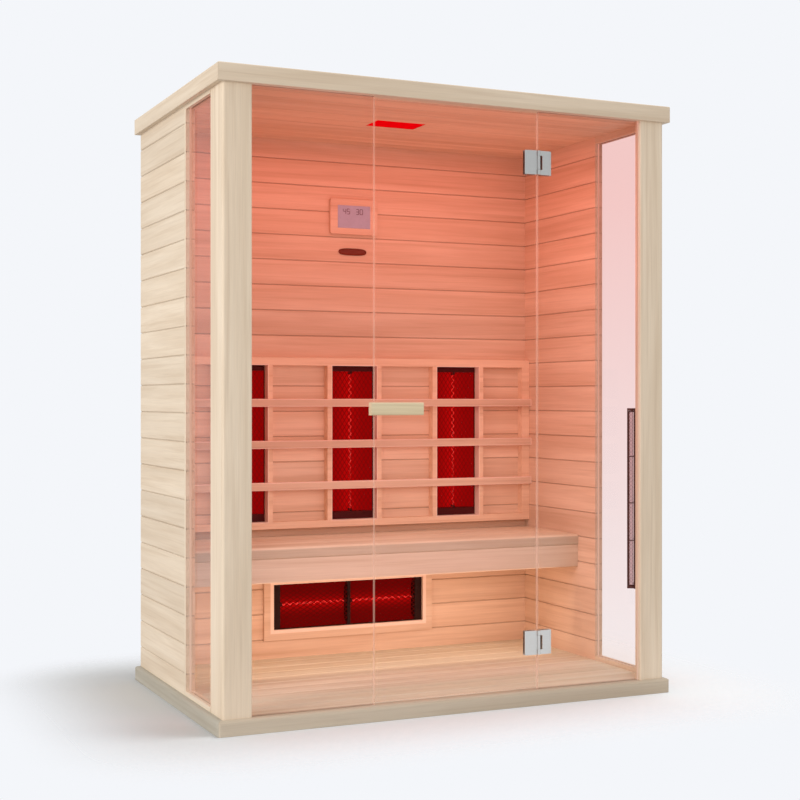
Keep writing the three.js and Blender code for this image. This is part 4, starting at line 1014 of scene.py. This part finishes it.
def addWorld(look):
    # the paper is what the camera, gloss and glass see; everything else gets the softer ambient light
    world = bpy.data.worlds.new("studio")
    bpy.context.scene.world = world
    world.use_nodes = True
    tree = world.node_tree
    tree.nodes.clear()
    path = addNode(tree, "LightPath").outputs
    seen = calc(tree, "MAXIMUM", path["Is Camera Ray"], path["Is Glossy Ray"])
    seen = calc(tree, "MAXIMUM", seen, path["Is Transmission Ray"])
    ambient = addNode(tree, "Background", {
        "Color": solid(look["ambientTone"]), "Strength": look["ambient"]})
    paper = addNode(tree, "Background", {"Color": solid(look["paper"]), "Strength": 1.0})
    addNode(tree, "OutputWorld", {"Surface": mixShader(tree, seen, ambient.outputs[0], paper.outputs[0])})


lamps = {
    "left": {"place": (-6.2, -1.6, 2.5), "aim": (0, 0, 0.9), "size": (3.4, 3.0), "power": 212.0,
             "colour": (1.0, 0.99, 0.975), "onto": "cabin"},
    "front": {"place": (-0.6, -6.2, 2.6), "aim": (0, 0, 0.8), "size": (4.0, 2.4), "power": 67.0,
              "colour": (1.0, 0.985, 0.965), "onto": "cabin"},
    "overhead": {"place": (1.2, -0.5, 6.2), "aim": (0.1, 0.0, 0.0), "size": (2.0, 2.0), "power": 115.0,
                 "colour": (1.0, 0.995, 0.99), "onto": "cabin"},
    "floorLight": {"place": (1.2, -0.5, 6.2), "aim": (0.1, 0.0, 0.0), "size": (2.0, 2.0), "power": 195.0,
                   "colour": (1.0, 0.995, 0.99), "onto": "floor"},
    "ceilingRed": {"place": (-0.006, -0.03, 1.85), "aim": (-0.006, -0.03, 0.0), "size": (1.2, 0.66),
                   "power": 2.4, "colour": (1.0, 0.28, 0.24), "onto": "cabin"},
    "insideFill": {"place": (0.0, -0.36, 0.76), "aim": (0.0, 0.4, 0.90), "size": (1.24, 1.35), "power": 2.0,
                   "colour": (1.0, 0.22, 0.18), "onto": "cabin"},
    "upFill": {"place": (0.0, -0.05, 1.3), "aim": (0.0, -0.05, 2.0), "size": (1.2, 0.6), "power": 0.78,
               "colour": (1.0, 0.32, 0.24), "onto": "cabin"},
    "topFill": {"place": (0.0, -0.36, 1.62), "aim": (0.0, 0.4, 1.74), "size": (1.2, 0.35), "power": 0.40,
                "colour": (1.0, 0.32, 0.25), "onto": "cabin"},
    "seatFill": {"place": (0.0, -0.05, 0.80), "aim": (0.0, -0.05, 0.0), "size": (1.2, 0.66), "power": 0.62,
                 "colour": (0.80, 1.0, 0.98), "onto": "cabin"},
    "legFill": {"place": (0.0, 0.03, 0.22), "aim": (0.0, 0.4, 0.25), "size": (1.24, 0.28), "power": 1.45,
                "colour": (1.0, 0.70, 0.53), "onto": "cabin"},
}


def addLamp(name, look, receiver):
    data = bpy.data.lights.new(name, "AREA")
    data.shape = "RECTANGLE"
    data.size, data.size_y = look["size"]
    data.energy = look["power"]
    data.color = look["colour"]
    lamp = bpy.data.objects.new(name, data)
    lamp.location = look["place"]
    x, y, z = np.subtract(look["aim"], look["place"])
    flat = math.hypot(x, y)
    turn = math.atan2(y, x) - math.pi / 2 if flat > 1e-6 else 0.0     # straight up or down needs no turn
    lamp.rotation_euler = (math.atan2(flat, -z), 0.0, turn)
    lamp.visible_camera = False
    lamp.visible_glossy = False
    lamp.visible_transmission = False
    lamp.light_linking.receiver_collection = receiver
    bpy.context.scene.collection.objects.link(lamp)


# Each lamp reaches the cabin or the floor alone, so that the floor stays plain and the roof doesn't clip
lit = {"cabin": bpy.data.collections.new("lit_cabin"), "floor": bpy.data.collections.new("lit_floor")}
for thing in bpy.context.scene.objects:
    if thing.type == "MESH":
        lit["cabin"].objects.link(thing)
lit["floor"].objects.link(addFloor(stageLook))
addWorld(stageLook)
for name, look in lamps.items():
    addLamp(name, look, lit[look["onto"]])
print("stage and light done")
